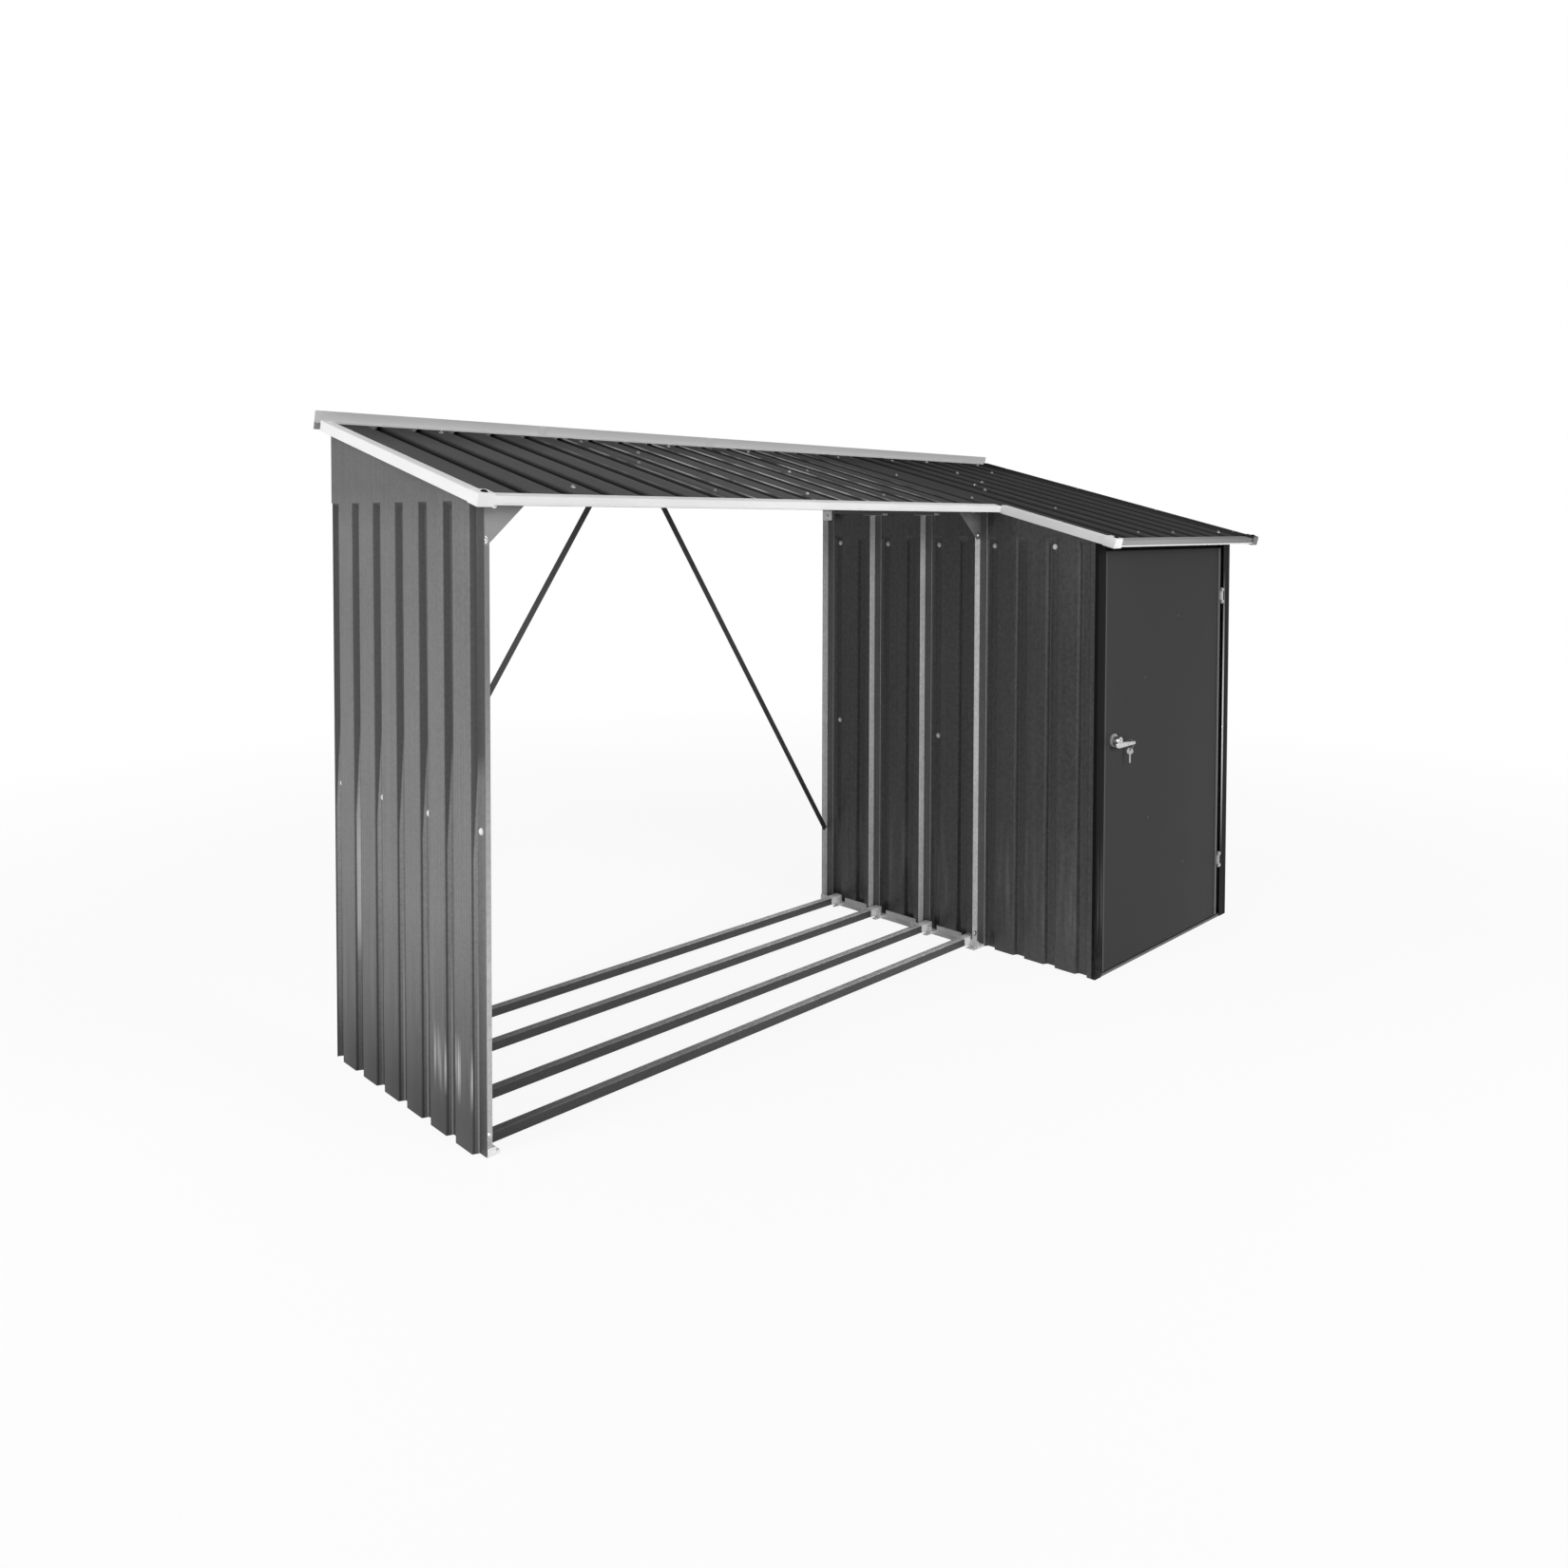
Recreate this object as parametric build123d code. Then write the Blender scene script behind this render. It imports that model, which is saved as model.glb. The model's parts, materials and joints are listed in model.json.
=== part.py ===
from build123d import *
import os
from math import cos, radians, sin, tan

# Log store of ribbed steel sheet on a galvanised angle frame, with a lockable
# tool shed at its right end.  Millimetres, Z up, front towards -Y.
# In this source X = 0 is the outer face of the left wall, Y = 0 the front edge
# of the log bay and Z = 0 the ground; every piece is shifted to the middle of
# the footprint when it is written.

# Ribbed sheet: wide flats with narrow pressed grooves
SHEET = 1.5
RIB_PITCH = 124.0
RIB_DEPTH = 17.0
RIB_MOUTH = 46.0
RIB_FLOOR = 30.0
RIB_END = 20.0
RIB_EDGE = 5.0
RIB_STOP = 10.0
SHEET_INSET = 2.0
ROOF_RIB = 11.5
POST_RIBS = 2

# Galvanised angle, channel and bar
LEG = 32.0
STEEL = 2.0

# Log bay and shed
BAY_LENGTH = 2055.0
BAY_DEPTH = 778.0
SHED_WIDTH = 980.0
SHED_FORWARD = 446.0

# Heights and roof slope
ROOF_ANGLE = 14.58
UNDER_HEIGHT = 1593.0
SHED_RIB_RISE = 4.0

# Roof edges
ROOF_LEFT = 38.0
ROOF_RIGHT = 89.0
ROOF_FRONT = 67.0
ROOF_BACK = 6.0
ROOF_INNER = 19.0
ROOF_FIRST_RIB = 120.0
ROOF_SHEET_RIBS = 6
SHED_FIRST_RIB = 150.0
SHED_SEAM_RIBS = 2

# Folded edge trims, corner caps and the upstand along the back
TRIM = 1.5
TRIM_DROP = 9.0
TRIM_RISE = 20.0
TRIM_TOP = 30.0
EAVE_DROP = 5.0
EAVE_RISE = 16.0
CAP = 1.5
CAP_REACH = 40.0
FLASH_RISE = 44.0
FLASH_FOOT = 22.0
FLASH_OVER = 10.0

# Frame members
HEAD = 25.0
BEAM = 24.0
TOP_RAIL = 8.0
FOOT = 8.0
FOOT_OVER = 3.0
FOOT_LONG = 100.0
FLOOR_RAIL = 26.0
FLOOR_RAIL_WIDE = 26.0
FRONT_RAIL_BACK = 8.0
MID_RAIL_AHEAD = 42.0
BACK_RAIL_AHEAD = 83.0
BASE_RAIL = 25.0
SHED_BASE = 22.0
THRESHOLD = 9.0
RAIL_GAP = 1.0
POST_PLATE = 8.0
POST_PLATE_LONG = 100.0

# Bracing
BRACE_WIDTH = 20.0
BRACE_STEEL = 3.0
BRACE_FOOT = 290.0
BRACE_APART = 60.0
GUSSET_REACH = 157.0
GUSSET_DROP = 126.0
GUSSET_TOE = 22.0

# Shed corners and door
CORNER_SIDE = 12.0
BACK_CORNER = 38.0
CORNER_LEFT = 40.0
CORNER_RIGHT = 52.0
DOOR_GAP = 6.0
DOOR_BOTTOM = 14.0
DOOR_CLEAR = 10.0
DOOR_FOLD = 20.0
JAMB_GAP = 8.0
JAMB_LAP = 12.0
HEADER_LAP = 12.0

# Hinges
HINGE_ROOM = 12.5
HINGE_PIN = 4.0
HINGE_SLEEVE = 6.0
HINGE_FIT = 0.3
HINGE_SLEEVE_TALL = 34.0
HINGE_LUG = 11.0
HINGE_LUG_HALF = 6.0
HINGE_TAB = 5.0
HINGE_FROM_FOOT = 212.0
HINGE_FROM_TOP = 185.0

# Lever handle
HANDLE_INSET = 103.0
HANDLE_HEIGHT = 796.0
ROSE_RADIUS = 22.0
ROSE_THICK = 8.0
HUB_RADIUS = 14.0
HUB_LONG = 22.0
LEVER_LONG = 104.0
LEVER_TALL = 20.0
LEVER_THICK = 11.0
LEVER_TAIL = 22.0
LEVER_DROP = 15.0
HANDLE_FIT = 0.3

# Cuts run past the faces they open by this much
OVERRUN = 5.0

# Places that follow from the sizes above
SLOPE = tan(radians(ROOF_ANGLE))
TILT_COS = cos(radians(ROOF_ANGLE))
TILT_SIN = sin(radians(ROOF_ANGLE))
RIB_BACK = RIB_DEPTH + SHEET
ROOF_TOP = ROOF_RIB + SHEET
SHED_LEFT = BAY_LENGTH
SHED_RIGHT = BAY_LENGTH + SHED_WIDTH
SHED_FRONT = -SHED_FORWARD
SHED_DEPTH = BAY_DEPTH + SHED_FORWARD
ROOF_X0 = -ROOF_LEFT
ROOF_XI = BAY_LENGTH - ROOF_INNER
ROOF_X1 = SHED_RIGHT + ROOF_RIGHT
ROOF_V0 = -ROOF_FRONT / TILT_COS
ROOF_VS = (SHED_FRONT - ROOF_FRONT) / TILT_COS
ROOF_V1 = (BAY_DEPTH + ROOF_BACK) / TILT_COS
CENTRE_X = (ROOF_X0 + ROOF_X1) / 2
FRONT_EDGE = (ROOF_VS - TRIM - CAP) * TILT_COS - (TRIM_RISE + CAP) * TILT_SIN
BACK_EDGE = (ROOF_V1 + TRIM) * TILT_COS + TRIM_DROP * TILT_SIN
CENTRE_Y = (FRONT_EDGE + BACK_EDGE) / 2
ROOF_PLANE = Plane(
    origin=(0, 0, UNDER_HEIGHT),
    x_dir=(1, 0, 0),
    z_dir=(0, -TILT_SIN, TILT_COS),
)
JAMB_FRONT = SHED_FRONT + DOOR_FOLD + JAMB_GAP
DOOR_X0 = SHED_LEFT + CORNER_LEFT + DOOR_GAP
LEG_EDGE = SHED_RIGHT - CORNER_RIGHT
HINGE_X = LEG_EDGE - HINGE_ROOM
DOOR_X1 = HINGE_X - HINGE_ROOM
EAVE_LOW = UNDER_HEIGHT + (ROOF_VS - TRIM - CAP) * TILT_SIN - (TRIM_DROP + CAP) * TILT_COS
DOOR_TOP = EAVE_LOW - DOOR_CLEAR
HANDLE_X = SHED_LEFT + HANDLE_INSET


def under(y):
    """Height of the roof's underside over a line at this depth."""
    return UNDER_HEIGHT + y * SLOPE


def block(x0, x1, y0, y1, z0, z1):
    """Box between two corners."""
    body = Box(x1 - x0, y1 - y0, z1 - z0, align=(Align.MIN, Align.MIN, Align.MIN))
    return Pos(x0, y0, z0) * body


def prism(points, run):
    """Flat outline swept along a straight run."""
    return Solid.extrude(Face(Wire.make_polygon(points, close=True)), Vector(*run))


def angle_x(points_yz, x0, x1):
    """Section drawn in Y and Z, run along X."""
    return prism([(x0, y, z) for y, z in points_yz], (x1 - x0, 0, 0))


def angle_z(points_xy, z0, z1):
    """Section drawn in plan, run upright."""
    return prism([(x, y, z0) for x, y in points_xy], (0, 0, z1 - z0))


def channel_down(width, height, wall):
    """Section of a channel that is open at the bottom, from its lower left corner."""
    return [
        (0, 0),
        (wall, 0),
        (wall, height - wall),
        (width - wall, height - wall),
        (width - wall, 0),
        (width, 0),
        (width, height),
        (0, height),
    ]


def write(name, shape):
    """Shift a piece to the middle of the footprint and write it."""
    export_step(Pos(-CENTRE_X, -CENTRE_Y, 0) * shape, f"parts/{name}.step")


def write_all(name, shapes):
    """Write like pieces of one body together."""
    solids = [solid for shape in shapes for solid in shape.solids()]
    write(name, Compound(solids))


# Ribbed wall sheets


def rib_centres(length):
    """Groove centres along a sheet, the same distance from both of its ends."""
    gaps = int((length - RIB_MOUTH - 2 * RIB_EDGE) / RIB_PITCH)
    first = (length - gaps * RIB_PITCH) / 2
    return [first + index * RIB_PITCH for index in range(gaps + 1)]


def end_to_end_grooves():
    """Grooves of the left sheet: its front end lies on the floor of the first one."""
    first = SHEET_INSET + RIB_FLOOR / 2
    span = BAY_DEPTH - 2 * first
    gaps = max(1, round(span / RIB_PITCH))
    return [first + index * span / gaps for index in range(gaps + 1)]


LEFT_GROOVES = end_to_end_grooves()


def groove(centre, top, grow):
    """Tapered trough of one groove, closed by a slope at its top end."""
    depth = RIB_DEPTH + grow
    mouth = RIB_MOUTH / 2 + grow
    floor = RIB_FLOOR / 2 + grow
    outline = [
        (centre - mouth, 0),
        (centre + mouth, 0),
        (centre + floor, depth),
        (centre - floor, depth),
    ]
    trough = angle_z(outline, 0, top + grow)
    wedge = angle_x(
        [(0, top + grow), (depth, top + grow), (depth, top + grow - RIB_END)],
        centre - mouth,
        centre + mouth,
    )
    return trough - wedge


def ribbed_wall(length, top_start, top_end, rib_top, centres):
    """Sheet along X with its face at Y = 0 and its grooves pressed towards +Y."""
    outline = [(0, 0, 0), (length, 0, 0), (length, 0, top_end), (0, 0, top_start)]
    wall = prism(outline, (0, SHEET, 0))
    pans = []
    mouths = []
    for centre in centres:
        edge = top_start + (top_end - top_start) * centre / length
        top = min(rib_top, edge - RIB_STOP)
        pans.append(groove(centre, top, SHEET))
        mouths.append(groove(centre, top, 0))
    tall = max(top_start, top_end)
    whole = block(0, length, -OVERRUN, RIB_BACK + OVERRUN, 0, tall)
    return wall.fuse(*pans).cut(*mouths) & whole


def make_walls():
    back_top = under(BAY_DEPTH)
    shed_top = under(SHED_FRONT)
    shed_rib_top = shed_top + SHED_RIB_RISE
    left_back = BAY_DEPTH + ROOF_BACK - RAIL_GAP
    left = ribbed_wall(
        left_back - SHEET_INSET,
        under(left_back),
        under(SHEET_INSET),
        under(0) - RIB_STOP,
        [left_back - y for y in LEFT_GROOVES],
    )
    write("left_wall", Pos(0, left_back, 0) * Rot(0, 0, -90) * left)
    side_ribs = rib_centres(SHED_DEPTH)
    side = ribbed_wall(SHED_DEPTH, back_top, shed_top, shed_rib_top, side_ribs)
    write("shed_left_wall", Pos(SHED_LEFT, BAY_DEPTH, 0) * Rot(0, 0, -90) * side)
    side = ribbed_wall(SHED_DEPTH, shed_top, back_top, shed_rib_top, side_ribs)
    write("shed_right_wall", Pos(SHED_RIGHT, SHED_FRONT, 0) * Rot(0, 0, 90) * side)
    back_length = SHED_WIDTH - 2 * SHEET
    back_edge = under(BAY_DEPTH - SHEET)
    back_ribs = rib_centres(back_length)
    back = ribbed_wall(back_length, back_edge, back_edge, back_edge, back_ribs)
    write("shed_back_wall", Pos(SHED_RIGHT - SHEET, BAY_DEPTH, 0) * Rot(0, 0, 180) * back)


# Frame of the log bay

FRONT_POST = LEFT_GROOVES[0] - LEG / 2
BACK_POST = LEFT_GROOVES[-1] - LEG / 2
POST_BAYS = max(1, round((BACK_POST - FRONT_POST) / (POST_RIBS * RIB_PITCH)))
POST_STEP = (BACK_POST - FRONT_POST) / POST_BAYS
POST_YS = [FRONT_POST + index * POST_STEP for index in range(POST_BAYS)] + [BACK_POST]
LEFT_X = RIB_BACK
BAY_HEAD = FRONT_POST + LEG
BACK_LEG = BACK_POST + LEG - STEEL
TOP_RAIL_LOW = under(BAY_HEAD) - HEAD / TILT_COS - TOP_RAIL
BRACE_Y = BACK_LEG - BRACE_STEEL


def head_low(y):
    """Underside of the sloping head rails."""
    return under(y) - HEAD / TILT_COS


def post(x_wall, inward, y, top):
    """Angle post: one leg flat on the wall, the other behind it, pointing into the bay."""
    outline = [
        (x_wall, y),
        (x_wall + inward * STEEL, y),
        (x_wall + inward * STEEL, y + LEG - STEEL),
        (x_wall + inward * LEG, y + LEG - STEEL),
        (x_wall + inward * LEG, y + LEG),
        (x_wall, y + LEG),
    ]
    return angle_z(outline, FOOT, top)


def make_posts():
    for name, x_wall, inward in (("left", LEFT_X, 1), ("right", SHED_LEFT, -1)):
        posts = []
        for y in POST_YS:
            if y == BACK_POST:
                roofed = post(x_wall, inward, y, under(BAY_DEPTH))
                slab = [
                    (y - OVERRUN, head_low(y - OVERRUN)),
                    (y + LEG + OVERRUN, head_low(y + LEG + OVERRUN)),
                    (y + LEG + OVERRUN, under(BAY_DEPTH) + OVERRUN),
                    (y - OVERRUN, under(BAY_DEPTH) + OVERRUN),
                ]
                low = min(x_wall, x_wall + inward * LEG)
                posts.append(roofed - angle_x(slab, low - OVERRUN, low + LEG + OVERRUN))
            else:
                top = under(y) if y == FRONT_POST else TOP_RAIL_LOW - POST_PLATE
                posts.append(post(x_wall, inward, y, top))
        write_all(f"{name}_posts", posts)


def make_top_plates():
    plates = []
    for x0 in (LEFT_X, SHED_LEFT - LEG):
        for y in POST_YS[1:-1]:
            y0 = y + LEG / 2 - POST_PLATE_LONG / 2
            z0 = TOP_RAIL_LOW - POST_PLATE
            plates.append(block(x0, x0 + LEG, y0, y0 + POST_PLATE_LONG, z0, TOP_RAIL_LOW))
    write_all("post_top_plates", plates)


def foot_ends():
    """Front and back end of each foot plate along the partition."""
    ends = []
    for y in POST_YS:
        start = y + LEG / 2 - FOOT_LONG / 2
        if y == FRONT_POST:
            start = y
        if y == BACK_POST:
            start = y + LEG - FOOT_LONG
        ends.append((start, start + FOOT_LONG))
    return ends


def make_feet():
    feet = []
    for y in POST_YS:
        feet.append(block(LEFT_X, LEFT_X + LEG + FOOT_OVER, y, y + LEG, 0, FOOT))
    for y0, y1 in foot_ends():
        feet.append(block(SHED_LEFT - LEG - FOOT_OVER, SHED_LEFT, y0, y1, 0, FOOT))
    write_all("post_feet", feet)


def along_y(section, x0, z0, y0, y1):
    """Section drawn in X and Z, run along Y."""
    return prism([(x0 + x, y0, z0 + z) for x, z in section], (0, y1 - y0, 0))


def up_slope(section, x0, w0, v0, v1):
    """Section drawn across the slope, run up the roof."""
    body = prism([(x0 + x, v0, w0 + w) for x, w in section], (0, v1 - v0, 0))
    return ROOF_PLANE * body


def rail_places():
    """Front faces of the floor rails: behind the front posts, ahead of the others."""
    places = [FRONT_POST + LEG + FRONT_RAIL_BACK]
    places += [y + LEG - STEEL - MID_RAIL_AHEAD for y in POST_YS[1:-1]]
    return places + [BACK_LEG - BACK_RAIL_AHEAD]


def make_rails():
    top = channel_down(LEG, TOP_RAIL, STEEL)
    head = channel_down(LEG, HEAD, STEEL)
    head_v0 = BAY_HEAD / TILT_COS
    head_v1 = (BAY_DEPTH - HEAD * TILT_SIN) / TILT_COS
    for name, x0 in (("left", LEFT_X), ("right", SHED_LEFT - LEG)):
        write(f"{name}_top_rail", along_y(top, x0, TOP_RAIL_LOW, BAY_HEAD, BACK_POST))
        write(f"{name}_head_rail", up_slope(head, x0, -HEAD, head_v0, head_v1))
    floor = channel_down(FLOOR_RAIL_WIDE, FLOOR_RAIL, STEEL)
    rails = []
    for y in rail_places():
        section = [(y + across, FOOT + up) for across, up in floor]
        rails.append(angle_x(section, LEFT_X + STEEL, SHED_LEFT - STEEL))
    write_all("floor_rails", rails)
    base = [
        (0, 0),
        (-LEG, 0),
        (-LEG, STEEL),
        (-STEEL, STEEL),
        (-STEEL, BASE_RAIL),
        (0, BASE_RAIL),
    ]
    feet = foot_ends()
    strips = [
        along_y(base, SHED_LEFT, 0, ahead[1], behind[0])
        for ahead, behind in zip(feet[:-1], feet[1:])
    ]
    write_all("partition_base_rail", strips)


def beam(y0, reach, x0, x1):
    """Angle under the roof: an upright leg and a leg that lies along the slope."""
    into = STEEL if reach > 0 else -STEEL
    outline = [
        (y0, under(y0)),
        (y0 + reach, under(y0 + reach)),
        (y0 + reach, under(y0 + reach) - STEEL),
        (y0 + into, under(y0 + into) - STEEL),
        (y0 + into, under(y0) - BEAM),
        (y0, under(y0) - BEAM),
    ]
    return angle_x(outline, x0, x1)


def flat_bar(x0, z0, x1, z1, y0):
    """Flat bar between two points of an upright plane."""
    run = Vector(x1 - x0, 0, z1 - z0)
    side = Vector(-run.Z, 0, run.X).normalized() * (BRACE_WIDTH / 2)
    start = Vector(x0, y0, z0)
    end = Vector(x1, y0, z1)
    return prism([start - side, end - side, end + side, start + side], (0, BRACE_STEEL, 0))


def make_beams():
    x0 = LEFT_X + LEG
    x1 = SHED_LEFT - LEG
    write("front_beam", beam(FRONT_POST, LEG, x0, x1))
    write("back_beam", beam(BACK_LEG + STEEL, -LEG, x0, x1))
    middle = (x0 + x1) / 2
    brace_top = under(BACK_LEG) - BEAM / 2
    left = flat_bar(x0 - LEG / 2, BRACE_FOOT, middle - BRACE_APART / 2, brace_top, BRACE_Y)
    right = flat_bar(x1 + LEG / 2, BRACE_FOOT, middle + BRACE_APART / 2, brace_top, BRACE_Y)
    write_all("back_braces", [left, right])
    gusset_y = FRONT_POST + LEG - STEEL
    top = under(gusset_y - STEEL) - STEEL / TILT_COS
    gussets = []
    for x_wall, inward in ((LEFT_X, 1), (SHED_LEFT, -1)):
        outline = [(0, 0), (GUSSET_REACH, 0), (GUSSET_TOE, -GUSSET_DROP), (0, -GUSSET_DROP)]
        points = [(x_wall + inward * (x + STEEL), gusset_y, top + z) for x, z in outline]
        gussets.append(prism(points, (0, -STEEL, 0)))
    write_all("front_gussets", gussets)


# Frame of the shed


def make_shed_frame():
    left = SHED_LEFT + RIB_BACK
    right = SHED_RIGHT - RIB_BACK
    back = BAY_DEPTH - RIB_BACK
    head = channel_down(LEG, HEAD, STEEL)
    head_v0 = (JAMB_FRONT + STEEL) / TILT_COS
    head_v1 = (back - HEAD * TILT_SIN) / TILT_COS
    write("shed_left_head_rail", up_slope(head, left, -HEAD, head_v0, head_v1))
    write("shed_right_head_rail", up_slope(head, right - LEG, -HEAD, head_v0, head_v1))
    write("shed_back_beam", beam(back - LEG, LEG, left + LEG, right - LEG))
    base = channel_down(LEG, SHED_BASE, STEEL)
    rails = [
        along_y(base, left, 0, JAMB_FRONT + STEEL, back),
        along_y(base, right - LEG, 0, JAMB_FRONT + STEEL, back),
    ]
    back_section = [(back - LEG + across, up) for across, up in base]
    rails.append(angle_x(back_section, left + LEG + RAIL_GAP, right - LEG - RAIL_GAP))
    write_all("shed_base_rails", rails)
    threshold = [
        (SHED_FRONT, 0),
        (JAMB_FRONT + STEEL, 0),
        (JAMB_FRONT + STEEL, THRESHOLD),
        (SHED_FRONT, THRESHOLD),
    ]
    hollow = [
        (SHED_FRONT + STEEL, -OVERRUN),
        (JAMB_FRONT, -OVERRUN),
        (JAMB_FRONT, THRESHOLD - STEEL),
        (SHED_FRONT + STEEL, THRESHOLD - STEEL),
    ]
    x0 = SHED_LEFT + SHEET
    x1 = SHED_RIGHT - SHEET
    sill = angle_x(threshold, x0, x1) - angle_x(hollow, x0 - OVERRUN, x1 + OVERRUN)
    write("door_threshold", sill)
    header_low = DOOR_TOP - HEADER_LAP
    header = [
        (JAMB_FRONT, header_low),
        (JAMB_FRONT + STEEL, header_low),
        (JAMB_FRONT + STEEL, under(JAMB_FRONT + STEEL)),
        (JAMB_FRONT, under(JAMB_FRONT)),
    ]
    write("door_header", angle_x(header, left, right))
    jambs = []
    for wall, door_edge, inward in ((left, DOOR_X0, 1), (right, DOOR_X1, -1)):
        lap = door_edge + inward * JAMB_LAP
        outline = [
            (wall, JAMB_FRONT),
            (lap, JAMB_FRONT),
            (lap, JAMB_FRONT + STEEL),
            (wall + inward * STEEL, JAMB_FRONT + STEEL),
            (wall + inward * STEEL, JAMB_FRONT + LEG),
            (wall, JAMB_FRONT + LEG),
        ]
        jambs.append(angle_z(outline, SHED_BASE, header_low))
        toe = outline[:3] + [(wall, JAMB_FRONT + STEEL)]
        jambs[-1] = jambs[-1] + angle_z(toe, THRESHOLD, SHED_BASE)
    write_all("door_jambs", jambs)
    posts = []
    for wall, inward in ((left, 1), (right, -1)):
        outline = [
            (wall, back),
            (wall + inward * LEG, back),
            (wall + inward * LEG, back - STEEL),
            (wall + inward * STEEL, back - STEEL),
            (wall + inward * STEEL, back - LEG),
            (wall, back - LEG),
        ]
        posts.append(angle_z(outline, SHED_BASE, head_low(back - LEG)))
    write_all("shed_back_posts", posts)


def corner(x, y, to_x, to_y, top):
    """Folded corner strip outside two sheets that meet at a corner."""
    out_x = x - (SHEET if to_x > x else -SHEET)
    out_y = y - (SHEET if to_y > y else -SHEET)
    outline = [(out_x, out_y), (to_x, out_y), (to_x, y), (x, y), (x, to_y), (out_x, to_y)]
    return angle_z(outline, 0, top)


def make_corners():
    top = under(SHED_FRONT - SHEET) - RIB_STOP
    side = SHED_FRONT + CORNER_SIDE
    left = corner(SHED_LEFT, SHED_FRONT, SHED_LEFT + CORNER_LEFT, side, top)
    write("shed_front_left_corner", left)
    right = corner(SHED_RIGHT, SHED_FRONT, LEG_EDGE, side, top)
    write("shed_front_right_corner", right)
    back_top = under(BAY_DEPTH - BACK_CORNER) - RIB_STOP
    to_x = SHED_RIGHT - BACK_CORNER
    fold = corner(SHED_RIGHT, BAY_DEPTH, to_x, BAY_DEPTH - BACK_CORNER, back_top)
    strip = block(
        SHED_LEFT, SHED_LEFT + BACK_CORNER, BAY_DEPTH, BAY_DEPTH + SHEET, 0, back_top
    )
    write_all("shed_back_corners", [fold, strip])


# Roof


def roof_sheet(x0, x1, v0, first_rib):
    """Ribbed sheet from its lower end up to the back, grooves resting on the frame."""
    top = [(x0, ROOF_TOP)]
    reach = RIB_MOUTH / 2 + TRIM_TOP
    centre = first_rib
    while centre + reach < x1:
        if centre - reach > x0:
            top += [
                (centre - RIB_MOUTH / 2, ROOF_TOP),
                (centre - RIB_FLOOR / 2, SHEET),
                (centre + RIB_FLOOR / 2, SHEET),
                (centre + RIB_MOUTH / 2, ROOF_TOP),
            ]
        centre += RIB_PITCH
    top.append((x1, ROOF_TOP))
    low = [(x, w - SHEET) for x, w in reversed(top)]
    return up_slope(top + low, 0, 0, v0, ROOF_V1)


def rib_seam(first_rib, ribs):
    """Middle of the flat after some grooves, where two sheets meet."""
    return first_rib + ribs * RIB_PITCH - RIB_PITCH / 2


def make_roof():
    bay_edges = [ROOF_X0]
    ribs = ROOF_SHEET_RIBS
    while rib_seam(ROOF_FIRST_RIB, ribs) + RIB_PITCH < ROOF_XI:
        bay_edges.append(rib_seam(ROOF_FIRST_RIB, ribs))
        ribs += ROOF_SHEET_RIBS
    bay_edges.append(ROOF_XI)
    for number, (x0, x1) in enumerate(zip(bay_edges[:-1], bay_edges[1:]), 1):
        write(f"bay_roof_sheet_{number}", roof_sheet(x0, x1, ROOF_V0, ROOF_FIRST_RIB))
    shed_rib = ROOF_XI + SHED_FIRST_RIB
    seam = rib_seam(shed_rib, SHED_SEAM_RIBS)
    for number, (x0, x1) in enumerate(((ROOF_XI, seam), (seam, ROOF_X1)), 1):
        write(f"shed_roof_sheet_{number}", roof_sheet(x0, x1, ROOF_VS, shed_rib))


def trim_section(drop, rise):
    """Folded edge trim, drawn from the sheet's edge inwards and upwards."""
    return [
        (-TRIM, -drop),
        (0, -drop),
        (0, rise - TRIM),
        (TRIM_TOP - TRIM, rise - TRIM),
        (TRIM_TOP - TRIM, ROOF_TOP),
        (TRIM_TOP, ROOF_TOP),
        (TRIM_TOP, rise),
        (-TRIM, rise),
    ]


def eave_trim(v_edge, x0, x1):
    """Trim along the lower edge of the roof."""
    points = [(x0, v_edge + across, up) for across, up in trim_section(EAVE_DROP, EAVE_RISE)]
    return ROOF_PLANE * prism(points, (x1 - x0, 0, 0))


def verge_trim(x_edge, inward, v0, v1):
    """Trim up a sloping side of the roof."""
    section = [(inward * across, up) for across, up in trim_section(TRIM_DROP, TRIM_RISE)]
    return up_slope(section, x_edge, 0, v0, v1)


def corner_cap(x_edge, inward, v_edge):
    """Folded cap over the corner where an eave trim meets a verge trim."""
    x_in = x_edge - inward * TRIM
    x_out = x_in - inward * CAP
    x_end = x_edge + inward * CAP_REACH
    v_in = v_edge - TRIM
    outer = block(
        min(x_out, x_end),
        max(x_out, x_end),
        v_in - CAP,
        v_edge + CAP_REACH,
        -TRIM_DROP - CAP,
        TRIM_RISE + CAP,
    )
    x_far = x_end + inward * OVERRUN
    inner = block(
        min(x_in, x_far),
        max(x_in, x_far),
        v_in,
        v_edge + CAP_REACH + OVERRUN,
        -TRIM_DROP,
        TRIM_RISE,
    )
    return ROOF_PLANE * (outer - inner)


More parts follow.
